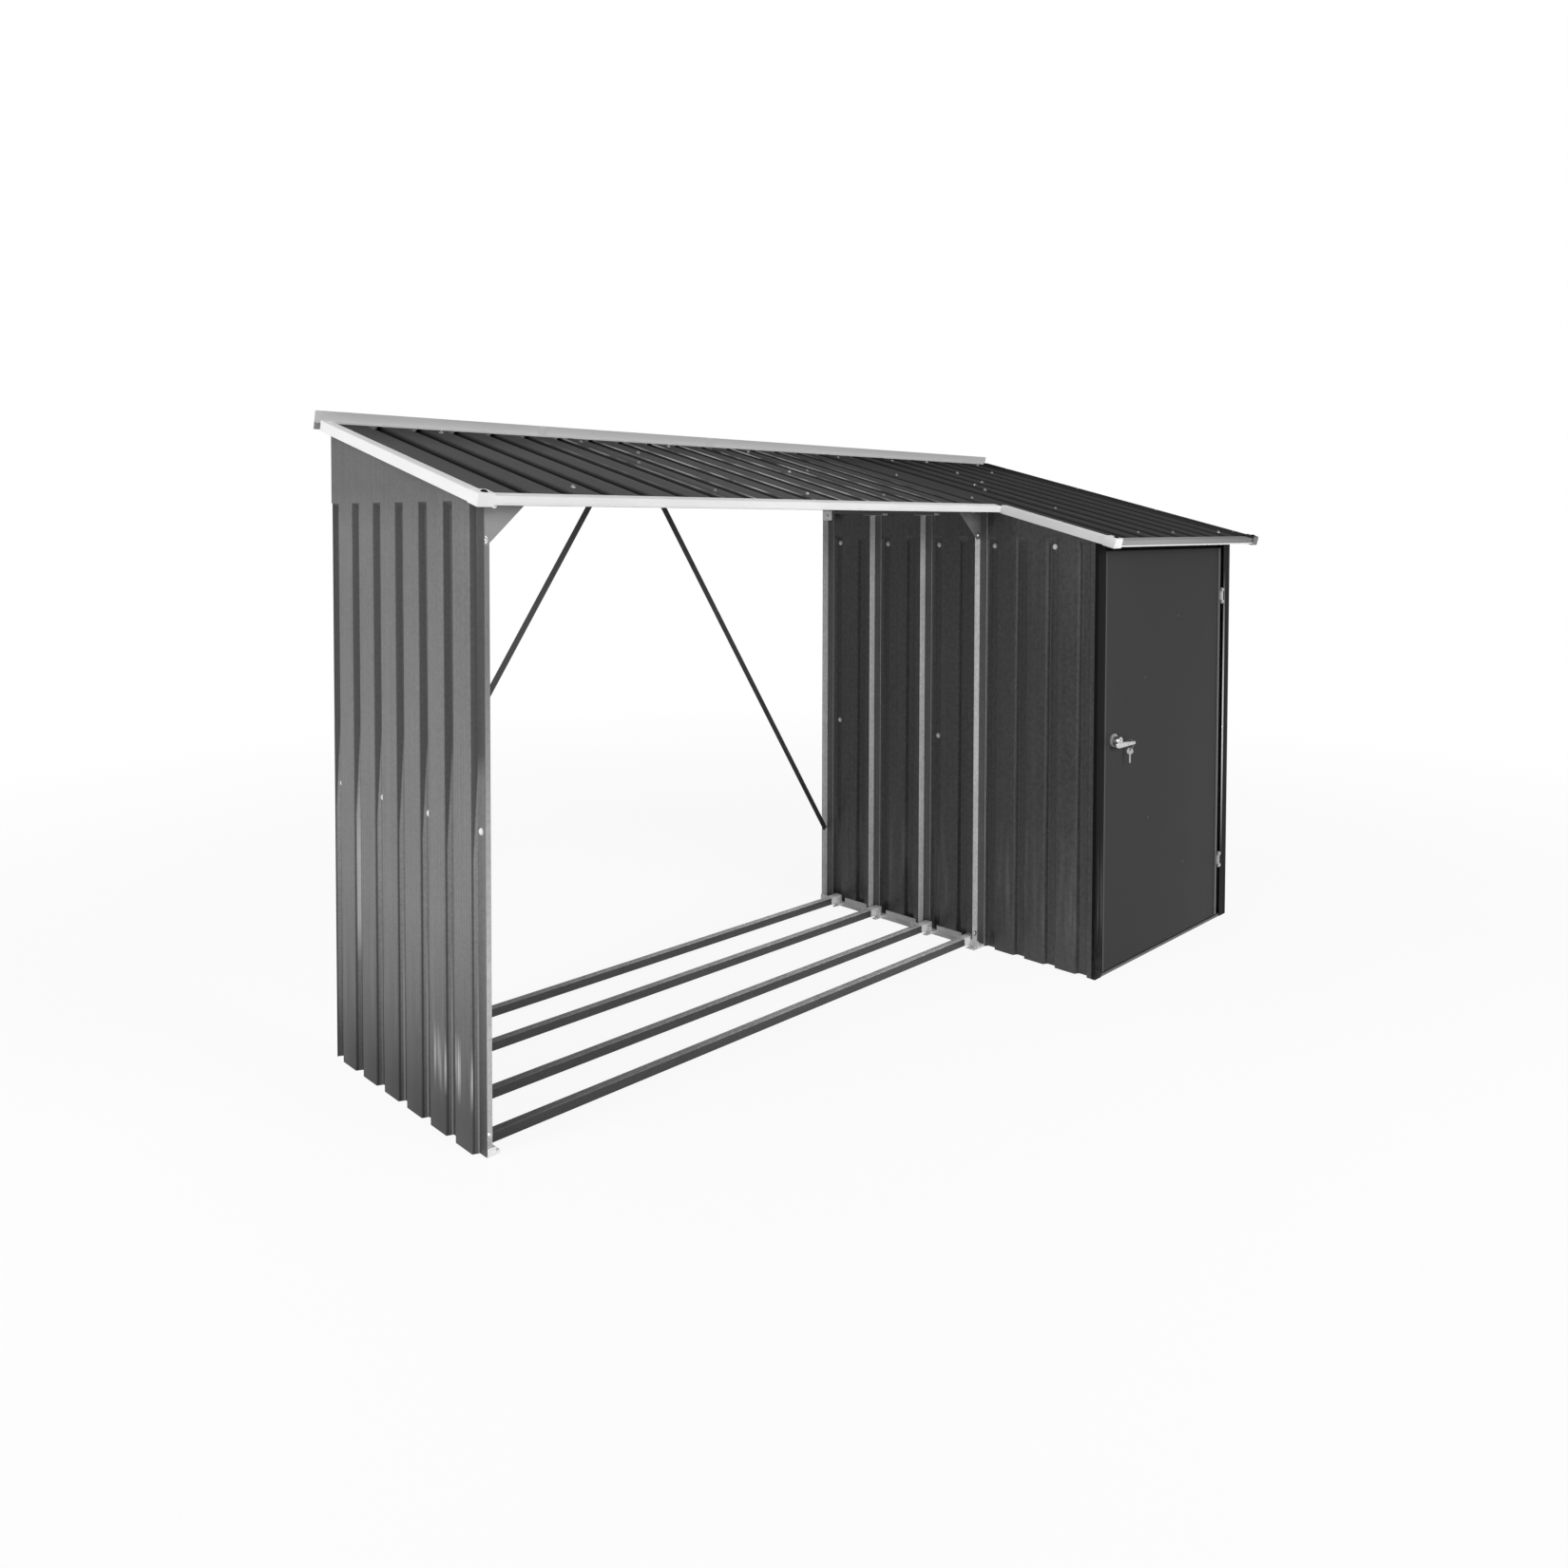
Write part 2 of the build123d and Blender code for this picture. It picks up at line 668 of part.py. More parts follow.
def make_trims():
    v_top = ROOF_V1 - FLASH_FOOT
    write("left_verge_trim", verge_trim(ROOF_X0, 1, ROOF_V0, v_top))
    write("front_eave_trim", eave_trim(ROOF_V0, ROOF_X0 + TRIM_TOP, ROOF_XI))
    write("shed_verge_trim", verge_trim(ROOF_XI, 1, ROOF_VS, ROOF_V0 - TRIM))
    eave_x1 = ROOF_X1 - TRIM_TOP
    write("shed_eave_trim", eave_trim(ROOF_VS, ROOF_XI + TRIM_TOP, eave_x1))
    write("right_verge_trim", verge_trim(ROOF_X1, -1, ROOF_VS, v_top))
    caps = [
        corner_cap(ROOF_X0, 1, ROOF_V0),
        corner_cap(ROOF_XI, 1, ROOF_VS),
        corner_cap(ROOF_X1, -1, ROOF_VS),
    ]
    write_all("corner_caps", caps)
    upstand = [
        (ROOF_V1 - FLASH_FOOT, ROOF_TOP),
        (ROOF_V1, ROOF_TOP),
        (ROOF_V1, -TRIM_DROP),
        (ROOF_V1 + TRIM, -TRIM_DROP),
        (ROOF_V1 + TRIM, FLASH_RISE),
        (ROOF_V1, FLASH_RISE),
        (ROOF_V1, ROOF_TOP + TRIM),
        (ROOF_V1 - FLASH_FOOT, ROOF_TOP + TRIM),
    ]
    x0 = ROOF_X0 - FLASH_OVER
    points = [(x0, v, w) for v, w in upstand]
    write("back_flashing", ROOF_PLANE * prism(points, (ROOF_X1 + FLASH_OVER - x0, 0, 0)))


# Door, hinges and handle


def make_door():
    back = SHED_FRONT + DOOR_FOLD
    leaf = block(DOOR_X0, DOOR_X1, SHED_FRONT, back, DOOR_BOTTOM, DOOR_TOP)
    pan = block(
        DOOR_X0 + SHEET,
        DOOR_X1 - SHEET,
        SHED_FRONT + SHEET,
        back + OVERRUN,
        DOOR_BOTTOM + SHEET,
        DOOR_TOP - SHEET,
    )
    write("door_leaf", leaf - pan)


def make_hinges():
    brackets = []
    sleeves = []
    for height in (DOOR_BOTTOM + HINGE_FROM_FOOT, DOOR_TOP - HINGE_FROM_TOP):
        low = height - HINGE_SLEEVE_TALL / 2
        high = height + HINGE_SLEEVE_TALL / 2
        at = Pos(HINGE_X, SHED_FRONT, low)
        tall = Align.MIN
        plan = (Align.CENTER, Align.CENTER, tall)
        outer = at * Cylinder(HINGE_SLEEVE, HINGE_SLEEVE_TALL, align=plan)
        tab = block(
            DOOR_X1,
            HINGE_X,
            SHED_FRONT,
            SHED_FRONT + HINGE_TAB,
            low,
            high,
        )
        bore = at * Cylinder(HINGE_PIN + HINGE_FIT, HINGE_SLEEVE_TALL, align=plan)
        sleeves.append(outer + tab - bore)
        pin = at * Cylinder(HINGE_PIN, HINGE_SLEEVE_TALL + 2 * HINGE_FIT, align=plan)
        bracket = Pos(0, 0, -HINGE_FIT) * pin
        for z0 in (low - HINGE_FIT - HINGE_LUG, high + HINGE_FIT):
            bracket += block(
                HINGE_X - HINGE_LUG_HALF,
                LEG_EDGE,
                SHED_FRONT - HINGE_LUG_HALF,
                SHED_FRONT + HINGE_LUG_HALF,
                z0,
                z0 + HINGE_LUG,
            )
        brackets.append(bracket)
    write_all("hinge_brackets", brackets)
    write_all("hinge_sleeves", sleeves)


def make_handle():
    turn = Rot(90, 0, 0)
    stand = (Align.CENTER, Align.CENTER, Align.MIN)
    rose = Cylinder(ROSE_RADIUS, ROSE_THICK, align=stand)
    write("handle_rose", Pos(HANDLE_X, SHED_FRONT, HANDLE_HEIGHT) * turn * rose)
    hub_y = SHED_FRONT - ROSE_THICK - HANDLE_FIT
    hub = Pos(HANDLE_X, hub_y, HANDLE_HEIGHT) * turn * Cylinder(HUB_RADIUS, HUB_LONG, align=stand)
    lever = block(
        HANDLE_X - LEVER_TAIL,
        HANDLE_X + LEVER_LONG,
        hub_y - HUB_LONG,
        hub_y - HUB_LONG + LEVER_THICK,
        HANDLE_HEIGHT - LEVER_DROP - LEVER_TALL / 2,
        HANDLE_HEIGHT - LEVER_DROP + LEVER_TALL / 2,
    )
    write("lever_handle", hub + lever)


def main():
    os.makedirs("parts", exist_ok=True)
    make_walls()
    make_posts()
    make_top_plates()
    make_feet()
    make_rails()
    make_beams()
    make_shed_frame()
    make_corners()
    make_roof()
    make_trims()
    make_door()
    make_hinges()
    make_handle()


main()
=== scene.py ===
import json
from math import cos, pi, radians, sin

import bmesh
import bpy
from bpy.props import FloatProperty, FloatVectorProperty, PointerProperty
from mathutils import Matrix, Vector

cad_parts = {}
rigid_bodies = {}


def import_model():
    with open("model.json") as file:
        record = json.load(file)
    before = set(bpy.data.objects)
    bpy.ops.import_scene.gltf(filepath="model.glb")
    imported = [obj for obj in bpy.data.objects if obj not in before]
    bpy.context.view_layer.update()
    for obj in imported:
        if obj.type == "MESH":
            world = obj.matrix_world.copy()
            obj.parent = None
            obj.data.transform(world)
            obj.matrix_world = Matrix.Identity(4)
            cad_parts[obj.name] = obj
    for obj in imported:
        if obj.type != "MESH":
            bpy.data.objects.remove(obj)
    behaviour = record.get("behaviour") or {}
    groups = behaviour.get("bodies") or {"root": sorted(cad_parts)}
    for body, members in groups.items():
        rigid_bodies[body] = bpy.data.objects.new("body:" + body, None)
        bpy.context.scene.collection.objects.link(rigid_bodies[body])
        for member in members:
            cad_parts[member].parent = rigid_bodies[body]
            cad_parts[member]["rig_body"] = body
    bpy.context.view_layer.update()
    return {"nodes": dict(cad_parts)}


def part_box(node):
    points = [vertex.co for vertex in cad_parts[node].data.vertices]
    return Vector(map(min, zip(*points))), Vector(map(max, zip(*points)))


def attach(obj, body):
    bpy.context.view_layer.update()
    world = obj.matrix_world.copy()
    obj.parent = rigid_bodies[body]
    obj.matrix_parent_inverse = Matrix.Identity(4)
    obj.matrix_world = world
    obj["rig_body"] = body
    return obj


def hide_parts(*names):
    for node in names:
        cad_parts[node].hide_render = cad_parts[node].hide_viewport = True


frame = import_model()

bl_info = {
    "name": "Log store",
    "version": (1, 0, 0),
    "blender": (4, 5, 0),
    "location": "View3D > Sidebar > Log store",
    "description": "Finishes, fixings and fittings of a ribbed steel log store with a tool shed",
    "category": "Object",
}

# Places are measured in metres from the left wall's outer face, the front edge
# of the log bay and the ground.
SHEET_INSET = 0.002
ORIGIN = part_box("left_wall")[0] - Vector((0, SHEET_INSET, 0))


def at(x, y, z):
    """Point of the store in the shared frame."""
    return Vector((ORIGIN.x + x, ORIGIN.y + y, z))


# Walls, posts and door
RIB_PITCH = 0.124
GROOVE_DEEP = 0.017
FIRST_GROOVE = 0.054
POST_LEG = 0.032
BAY_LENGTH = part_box("shed_left_wall")[0].x - ORIGIN.x
SHED_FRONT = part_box("shed_left_wall")[0].y - ORIGIN.y
SHED_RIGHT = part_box("shed_right_wall")[1].x - ORIGIN.x
SHED_GROOVES = tuple(SHED_FRONT + FIRST_GROOVE + RIB_PITCH * step for step in range(10))
LEFT_POST_FACE = 0.0185
RIGHT_POST_FACE = BAY_LENGTH - POST_LEG
DOOR_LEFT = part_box("door_leaf")[0].x - ORIGIN.x
DOOR_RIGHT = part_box("door_leaf")[1].x - ORIGIN.x
DOOR_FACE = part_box("door_leaf")[0].y - ORIGIN.y
DOOR_LOW, DOOR_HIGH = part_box("door_leaf")[0].z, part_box("door_leaf")[1].z
HANDLE_X, HANDLE_Z = 2.158, 0.796

# Roof: its underside over the front of the log bay, and its edges measured up
# the slope from there
ROOF_TILT = radians(14.58)
ROOF_UNDER = 1.593
ROOF_TOP = 0.013
EAVE_OVER = 0.067
ROOF_DEEP = 0.784
BAY_EAVE = -EAVE_OVER / cos(ROOF_TILT)
SHED_EAVE = (SHED_FRONT - EAVE_OVER) / cos(ROOF_TILT)
ROOF_BACK = ROOF_DEEP / cos(ROOF_TILT)
ROOF_FRAME = Matrix.Translation(at(0, 0, ROOF_UNDER)) @ Matrix.Rotation(ROOF_TILT, 4, "X")
ROOF_NORMAL = Vector((0, -sin(ROOF_TILT), cos(ROOF_TILT)))

LEFT_SIDE = (-1, 0, 0)
RIGHT_SIDE = (1, 0, 0)
FRONT_SIDE = (0, -1, 0)
UP = (0, 0, 1)
DOWN = (0, 0, -1)


def on_roof(x, y):
    """Point on top of the roof's ribs, over a place in plan."""
    up = (y + ROOF_TOP * sin(ROOF_TILT)) / cos(ROOF_TILT)
    return at(x, y, ROOF_UNDER + up * sin(ROOF_TILT) + ROOF_TOP * cos(ROOF_TILT))


# Sizes and colours


class LOGSTORE_PG_finishes(bpy.types.PropertyGroup):
    """Colours of the store's finishes"""

    # The end wall's coat is the sheet colour made lighter: painted light on that wall
    lit_end_sheet: FloatVectorProperty(
        name="End sheet", description="Coat of the ribbed left end wall", subtype="COLOR",
        size=3, min=0, max=1, default=(0.15, 0.1505, 0.152),
    )
    sheet: FloatVectorProperty(
        name="Sheet", description="Coat of the other ribbed sheets", subtype="COLOR",
        size=3, min=0, max=1, default=(0.06, 0.0603, 0.0612),
    )
    # Near black: painted shade on the strips in the recesses beside the door
    fold: FloatVectorProperty(
        name="Corner strips", description="Coat of the strips beside the door", subtype="COLOR",
        size=3, min=0, max=1, default=(0.009, 0.009, 0.0095),
    )
    door: FloatVectorProperty(
        name="Door", description="Coat of the door leaf", subtype="COLOR",
        size=3, min=0, max=1, default=(0.038, 0.0382, 0.0388),
    )
    zinc: FloatVectorProperty(
        name="Zinc", description="Galvanised posts and beams", subtype="COLOR",
        size=3, min=0, max=1, default=(0.8, 0.802, 0.805),
    )
    bright_zinc: FloatVectorProperty(
        name="Bright zinc", description="Galvanised clips, shoes and wall bolts", subtype="COLOR",
        size=3, min=0, max=1, default=(0.95, 0.952, 0.955),
    )
    # Dark zinc: painted shade under the eave
    plate_zinc: FloatVectorProperty(
        name="Plate zinc", description="Galvanised corner plates under the eave", subtype="COLOR",
        size=3, min=0, max=1, default=(0.2, 0.201, 0.203),
    )
    dull_zinc: FloatVectorProperty(
        name="Dull zinc", description="Rails, braces and threshold of dark zinc", subtype="COLOR",
        size=3, min=0, max=1, default=(0.13, 0.131, 0.133),
    )
    trim: FloatVectorProperty(
        name="Trim", description="Coat of the white roof edges", subtype="COLOR",
        size=3, min=0, max=1, default=(0.84, 0.84, 0.835),
    )
    grey_trim: FloatVectorProperty(
        name="Grey trim", description="Coat of the roof edge over the door", subtype="COLOR",
        size=3, min=0, max=1, default=(0.27, 0.27, 0.27),
    )
    flashing: FloatVectorProperty(
        name="Flashing", description="Coat of the upstand along the back", subtype="COLOR",
        size=3, min=0, max=1, default=(0.6, 0.6, 0.6),
    )
    plated: FloatVectorProperty(
        name="Plated steel", description="Handle, frame bolts and roof screws", subtype="COLOR",
        size=3, min=0, max=1, default=(0.62, 0.62, 0.62),
    )


class LOGSTORE_PG_sizes(bpy.types.PropertyGroup):
    """Sizes of the fixings and bends"""

    bolt_head: FloatProperty(
        name="Bolt head", description="Radius of a round bolt head", unit="LENGTH",
        default=0.0075, min=0.002, max=0.02,
    )
    washer: FloatProperty(
        name="Washer", description="Radius of the washer under a bolt head", unit="LENGTH",
        default=0.0092, min=0.003, max=0.03,
    )
    roof_screw: FloatProperty(
        name="Roof screw", description="Radius of a roof screw's washer", unit="LENGTH",
        default=0.0075, min=0.003, max=0.02,
    )
    sheet_bend: FloatProperty(
        name="Sheet bend", description="Bend radius of the ribbed sheets", unit="LENGTH",
        default=0.0032, min=0.0005, max=0.01,
    )
    steel_bend: FloatProperty(
        name="Steel bend", description="Bend radius of angles, channels and trims", unit="LENGTH",
        default=0.0018, min=0.0003, max=0.01,
    )
    panel_bend: FloatProperty(
        name="Panel bend", description="Bend radius of the door leaf and corner caps", unit="LENGTH",
        default=0.0025, min=0.0003, max=0.01,
    )
    shoe_bend: FloatProperty(
        name="Shoe bend", description="Bend radius of shoes, hinges and clips", unit="LENGTH",
        default=0.0008, min=0.0002, max=0.005,
    )


class LOGSTORE_PG_stage(bpy.types.PropertyGroup):
    """Place and lens of the camera"""

    eye: FloatVectorProperty(
        name="Camera place", description="Where the camera stands", subtype="TRANSLATION",
        unit="LENGTH", size=3, default=tuple(at(-1.47004, -2.48688, 1.52736)),
    )
    yaw: FloatProperty(
        name="Yaw", description="Turn of the view from the back towards the right",
        subtype="ANGLE", default=radians(44.9886),
    )
    pitch: FloatProperty(
        name="Pitch", description="Tilt of the view, below level when negative",
        subtype="ANGLE", default=radians(-1.7271),
    )
    roll: FloatProperty(
        name="Roll", description="Turn of the view about its own line",
        subtype="ANGLE", default=radians(0.1276),
    )
    lens: FloatProperty(
        name="Lens", description="Focal length on a 36 mm frame", default=27.2536, min=5, max=200,
    )
    shift_x: FloatProperty(name="Shift across", description="Lens shift across", default=0.0011)
    shift_y: FloatProperty(name="Shift up", description="Lens shift up", default=-0.1432)


def finishes():
    return bpy.context.scene.logstore_finishes


def sizes():
    return bpy.context.scene.logstore_sizes


# Modelling helpers


def clear_selection():
    if bpy.context.object and bpy.context.object.mode != "OBJECT":
        bpy.ops.object.mode_set(mode="OBJECT")
    bpy.ops.object.select_all(action="DESELECT")


def take(piece):
    """Make one object the only selected and the active one."""
    clear_selection()
    piece.select_set(True)
    bpy.context.view_layer.objects.active = piece


def edit(piece, mode="FACE", action="DESELECT"):
    """Open a piece in edit mode with nothing or everything selected."""
    take(piece)
    bpy.ops.object.mode_set(mode="EDIT")
    bpy.ops.mesh.select_mode(type=mode)
    bpy.ops.mesh.select_all(action=action)


def leave():
    bpy.ops.object.mode_set(mode="OBJECT")


def choose_faces(piece, test):
    """Select the faces for which the test on centre and normal holds."""
    mesh = bmesh.from_edit_mesh(piece.data)
    for face in mesh.faces:
        face.select_set(bool(test(face.calc_center_median(), face.normal)))
    bmesh.update_edit_mesh(piece.data)


def choose_top(piece):
    choose_faces(piece, lambda centre, normal: normal.z > 0.9)


def choose_edges(piece, test):
    """Select the edges for which the test holds."""
    bpy.ops.mesh.select_mode(type="EDGE")
    mesh = bmesh.from_edit_mesh(piece.data)
    for item in list(mesh.faces) + list(mesh.edges) + list(mesh.verts):
        item.select = False
    for edge in mesh.edges:
        if test(edge):
            edge.select_set(True)
    bmesh.update_edit_mesh(piece.data)


def sharp(edge):
    return edge.calc_face_angle(0) > radians(40)


def extrude(*move):
    bpy.ops.mesh.extrude_region_move(TRANSFORM_OT_translate={"value": move})


def bevel(width, segments=2, **shape):
    bpy.ops.mesh.bevel(offset=width, segments=segments, affect="EDGES", **shape)


def settle(piece):
    """Put an object's place into its mesh."""
    take(piece)
    bpy.ops.object.transform_apply(location=True, rotation=True, scale=True)


def join(pieces, name):
    """Join finished copies into one piece."""
    clear_selection()
    for piece in pieces:
        piece.select_set(True)
    bpy.context.view_layer.objects.active = pieces[0]
    if len(pieces) > 1:
        bpy.ops.object.join()
    pieces[0].name = name
    pieces[0].data.name = name
    return pieces[0]


def bar(low, high):
    """Plain bar between two corners, to be shaped further."""
    low, high = Vector(low), Vector(high)
    clear_selection()
    bpy.ops.mesh.primitive_cube_add(size=1, location=(low + high) / 2, scale=high - low)
    piece = bpy.context.object
    settle(piece)
    return piece


def block(low, high, bend, segments=2):
    """Bar or plate between two corners, its edges rounded."""
    piece = bar(low, high)
    edit(piece, "EDGE", "SELECT")
    bevel(bend, segments)
    leave()
    return piece


def disc(sides, radius, thick, lift=0.0, **turn):
    """Plain disc about Z, its middle lifted, to be shaped further."""
    clear_selection()
    bpy.ops.mesh.primitive_cylinder_add(
        vertices=sides, radius=radius, depth=thick, location=(0, 0, lift), **turn
    )
    return bpy.context.object


def stepped_head(sides, radius, thick, steps, rim=0.0, lift=0.0):
    """Head of a fixing about Z: a disc whose top, inside a rim, rises and narrows in steps."""
    head = disc(sides, radius, thick, lift)
    edit(head)
    choose_top(head)
    if rim:
        bpy.ops.mesh.inset(thickness=rim)
    for rise, share in steps:
        extrude(0, 0, rise)
        bpy.ops.transform.resize(value=(share, share, 1))
    leave()
    return head


def onto_roof(piece):
    """Lay a piece that was made level, with Y up the slope, on the roof."""
    piece.matrix_world = ROOF_FRAME @ piece.matrix_world
    settle(piece)
    return piece


def dress(piece, finish, body="store", angle=radians(35)):
    """Finish, smooth shading, slot and body of a new piece."""
    piece.data.materials.clear()
    piece.data.materials.append(FINISH[finish])
    settle(piece)
    bpy.ops.object.shade_smooth_by_angle(angle=angle)
    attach(piece, body)
    return piece


def fixings(pattern, places, name, finish, body="store"):
    """Copies of a fixing made about Z, one on each place, as one dressed piece."""
    made = []
    for spot, normal, turn in places:
        take(pattern)
        bpy.ops.object.duplicate(linked=False)
        copy = bpy.context.object
        lean = Vector(normal).to_track_quat("Z", "Y").to_matrix().to_4x4()
        copy.matrix_world = Matrix.Translation(spot) @ lean @ Matrix.Rotation(turn, 4, "Z")
        settle(copy)
        made.append(copy)
    bpy.data.objects.remove(pattern)
    return dress(join(made, name), finish, body)


# Shader nodes


def is_socket(value):
    return isinstance(value, bpy.types.NodeSocket)


def feed(value, socket):
    """Link an output to a socket, or set a plain value on it."""
    if is_socket(value):
        socket.id_data.links.new(value, socket)
    else:
        socket.default_value = value


def add_node(kind, inputs, tree=None, **settings):
    """New shader node with its settings and inputs, in a tree or in that of the linked inputs."""
    tree = tree or next(value.id_data for value in inputs.values() if is_socket(value))
    node = tree.nodes.new("ShaderNode" + kind)
    for name, value in settings.items():
        setattr(node, name, value)
    for label, value in inputs.items():
        feed(value, node.inputs[label])
    return node


def math(operation, *values, clamp=False):
    node = add_node("Math", dict(enumerate(values)), operation=operation, use_clamp=clamp)
    return node.outputs[0]


def times(first, *others):
    for other in others:
        first = math("MULTIPLY", first, other)
    return first


def plus(first, *others):
    for other in others:
        first = math("ADD", first, other)
    return first


def minus(first, second):
    return math("SUBTRACT", first, second)


def weigh(*parts):
    """Sum of values, each times its weight."""
    return plus(*[times(value, weight) for value, weight in parts])


def dim(mask, amount):
    """1, less an amount of the mask."""
    return minus(1.0, times(mask, amount))


def spread(value, low, high):
    """Stretch a value so that low becomes 0 and high becomes 1."""
    inputs = {"Value": value, "From Min": low, "From Max": high}
    return add_node("MapRange", inputs, clamp=True).outputs["Result"]


def fall(value, low, high):
    """Stretch a value so that low becomes 1 and high becomes 0."""
    return minus(1.0, spread(value, low, high))


def window(value, rise, drop):
    """1 between the rise from 0 and the drop back to it."""
    return times(spread(value, *rise), fall(value, *drop))


def between(factor, ends):
    """Value between two ends."""
    return plus(ends[0], times(factor, ends[1] - ends[0]))


def axes(vector):
    return add_node("SeparateXYZ", {0: vector}).outputs


def vector_math(operation, *vectors):
    node = add_node("VectorMath", dict(enumerate(vectors)), operation=operation)
    return node.outputs["Value" if operation in ("DOT_PRODUCT", "LENGTH") else "Vector"]


def noise(vector, scale, detail=2.0, rough=0.5):
    inputs = {"Vector": vector, "Scale": scale, "Detail": detail, "Roughness": rough}
    return add_node("TexNoise", inputs).outputs["Fac"]


def upright_lines(vector, squeeze, scale, detail=2.0):
    """Noise drawn out along Z."""
    return noise(vector_math("MULTIPLY", vector, (1.0, 1.0, squeeze)), scale, detail)


GROUPS = {}


def group(name, outputs, **inputs):
    """New node group: a vector, the inputs with their defaults, and the values that it puts out."""
    tree = bpy.data.node_groups.new(name, "ShaderNodeTree")
    tree.interface.new_socket("Vector", in_out="INPUT", socket_type="NodeSocketVector")
    for label, value in inputs.items():
        kind = "NodeSocketVector" if isinstance(value, tuple) else "NodeSocketFloat"
        tree.interface.new_socket(label, in_out="INPUT", socket_type=kind).default_value = value
    for label in outputs:
        tree.interface.new_socket(label, in_out="OUTPUT", socket_type="NodeSocketFloat")
    GROUPS[name] = tree
    return tree.nodes.new("NodeGroupInput").outputs, tree.nodes.new("NodeGroupOutput").inputs


def make_grain_group():
    """Embossed grain of coated sheet: a fine height, and specks of darker and lighter coat."""
    given, result = group("Embossed grain", ("Height", "Specks"), Scale=130.0)
    coarse = noise(given["Vector"], given["Scale"], 2.0, 0.6)
    finer = noise(given["Vector"], times(given["Scale"], 4.5), 1.0)
    feed(weigh((coarse, 0.45), (finer, 0.55)), result["Height"])
    feed(spread(coarse, 0.33, 0.67), result["Specks"])


def make_streak_group():
    """Long rolling streaks: the stretch says how many lie across each axis."""
    given, result = group("Rolling streaks", ("Streaks", "Patches"), Stretch=(60.0, 60.0, 0.8))
    drawn = vector_math("MULTIPLY", given["Vector"], given["Stretch"])
    feed(spread(noise(drawn, 1.0, 3.0, 0.6), 0.32, 0.68), result["Streaks"])
    feed(spread(noise(given["Vector"], 2.6), 0.3, 0.7), result["Patches"])


def make_spangle_group():
    """Zinc spangle: crystal patches of different tone, and fine rolling lines."""
    given, result = group("Zinc spangle", ("Tone", "Height"), Scale=130.0)
    cells = add_node("TexVoronoi", {"Vector": given["Vector"], "Scale": given["Scale"]})
    crystals = add_node("SeparateColor", {"Color": cells.outputs["Color"]}).outputs[0]
    cloud = noise(given["Vector"], 9.0, 3.0)
    tone = weigh((crystals, 0.45), (cloud, 0.55))
    feed(spread(tone, 0.2, 0.8), result["Tone"])
    feed(noise(given["Vector"], 600.0, 1.0), result["Height"])


def make_dust_group():
    """Splash dust and upright scuffs that fade out above the ground."""
    given, result = group("Splash dust", ("Dust", "Scuffs"), Reach=0.16)
    height = axes(given["Vector"])["Z"]
    low = math("SUBTRACT", 1.0, math("DIVIDE", height, given["Reach"]), clamp=True)
    specks = spread(noise(given["Vector"], 45.0, 4.0, 0.65), 0.35, 0.75)
    feed(times(math("POWER", low, 1.6), specks), result["Dust"])
    lines = spread(upright_lines(given["Vector"], 0.05, 48.0), 0.5, 0.74)
    band = times(fall(height, 0.0, 0.5), spread(height, 0.05, 0.22))
    feed(times(lines, band), result["Scuffs"])


def make_groove_group():
    """Painted shade and light of the ribbed end wall: painted shade in its grooves, painted light on their
    slopes low down.
    """
    given, result = group("Painted groove shade", ("Tone", "Streaks"), Face=0.0, Front=0.0)
    x, y, height = axes(given["Vector"])
    deep = minus(x, given["Face"])
    back = minus(y, given["Front"])
    # The painted shade in a groove is broad high up and narrow near the ground
    reach = between(spread(height, 0.72, 1.15), (0.0065, 0.0265))
    inside = spread(deep, 0.0012, 0.0032)
    flat = minus(1.0, inside)
    past = spread(minus(deep, reach), -0.0014, 0.0014)
    dark = times(inside, minus(1.0, past))
    pale = times(inside, past, fall(deep, 0.0152, 0.0168))
    tone = plus(dim(dark, 0.62), times(pale, 0.75))
    # Painted highlights of ten fine swages to each pitch of the ribs
    waves = math("SINE", times(back, 2 * pi / (RIB_PITCH / 10)))
    swages = times(spread(waves, 0.3, 1.0), flat, fall(height, 0.95, 1.3))
    tone = plus(tone, times(swages, 0.2))
    # Painted shade near the ground and just under the roof
    foot = between(spread(height, 0.06, 0.55), (0.35, 1.1))
    gable = dim(spread(height, 1.5, 1.62), 0.25)
    feed(times(tone, foot, gable), result["Tone"])
    # Scuffs low at the front, and painted highlights along some bends and in one groove near the back
    lines = spread(upright_lines(given["Vector"], 0.03, 62.0, 1.0), 0.5, 0.66)
    band = window(height, (0.1, 0.17), (0.2, 0.28))
    scuffs = times(lines, flat, band, fall(back, 0.15, 0.3))
    bend = window(deep, (0.0115, 0.0135), (0.0155, 0.0166))
    bend = times(bend, fall(height, 0.3, 0.5), fall(back, 0.4, 0.6), 0.4)
    rear = window(back, (0.62, 0.64), (0.67, 0.69))
    rear = times(rear, window(height, (0.3, 0.42), (0.62, 0.82)), pale, 0.7)
    brightest = math("MAXIMUM", scuffs, math("MAXIMUM", bend, rear))
    feed(brightest, result["Streaks"])


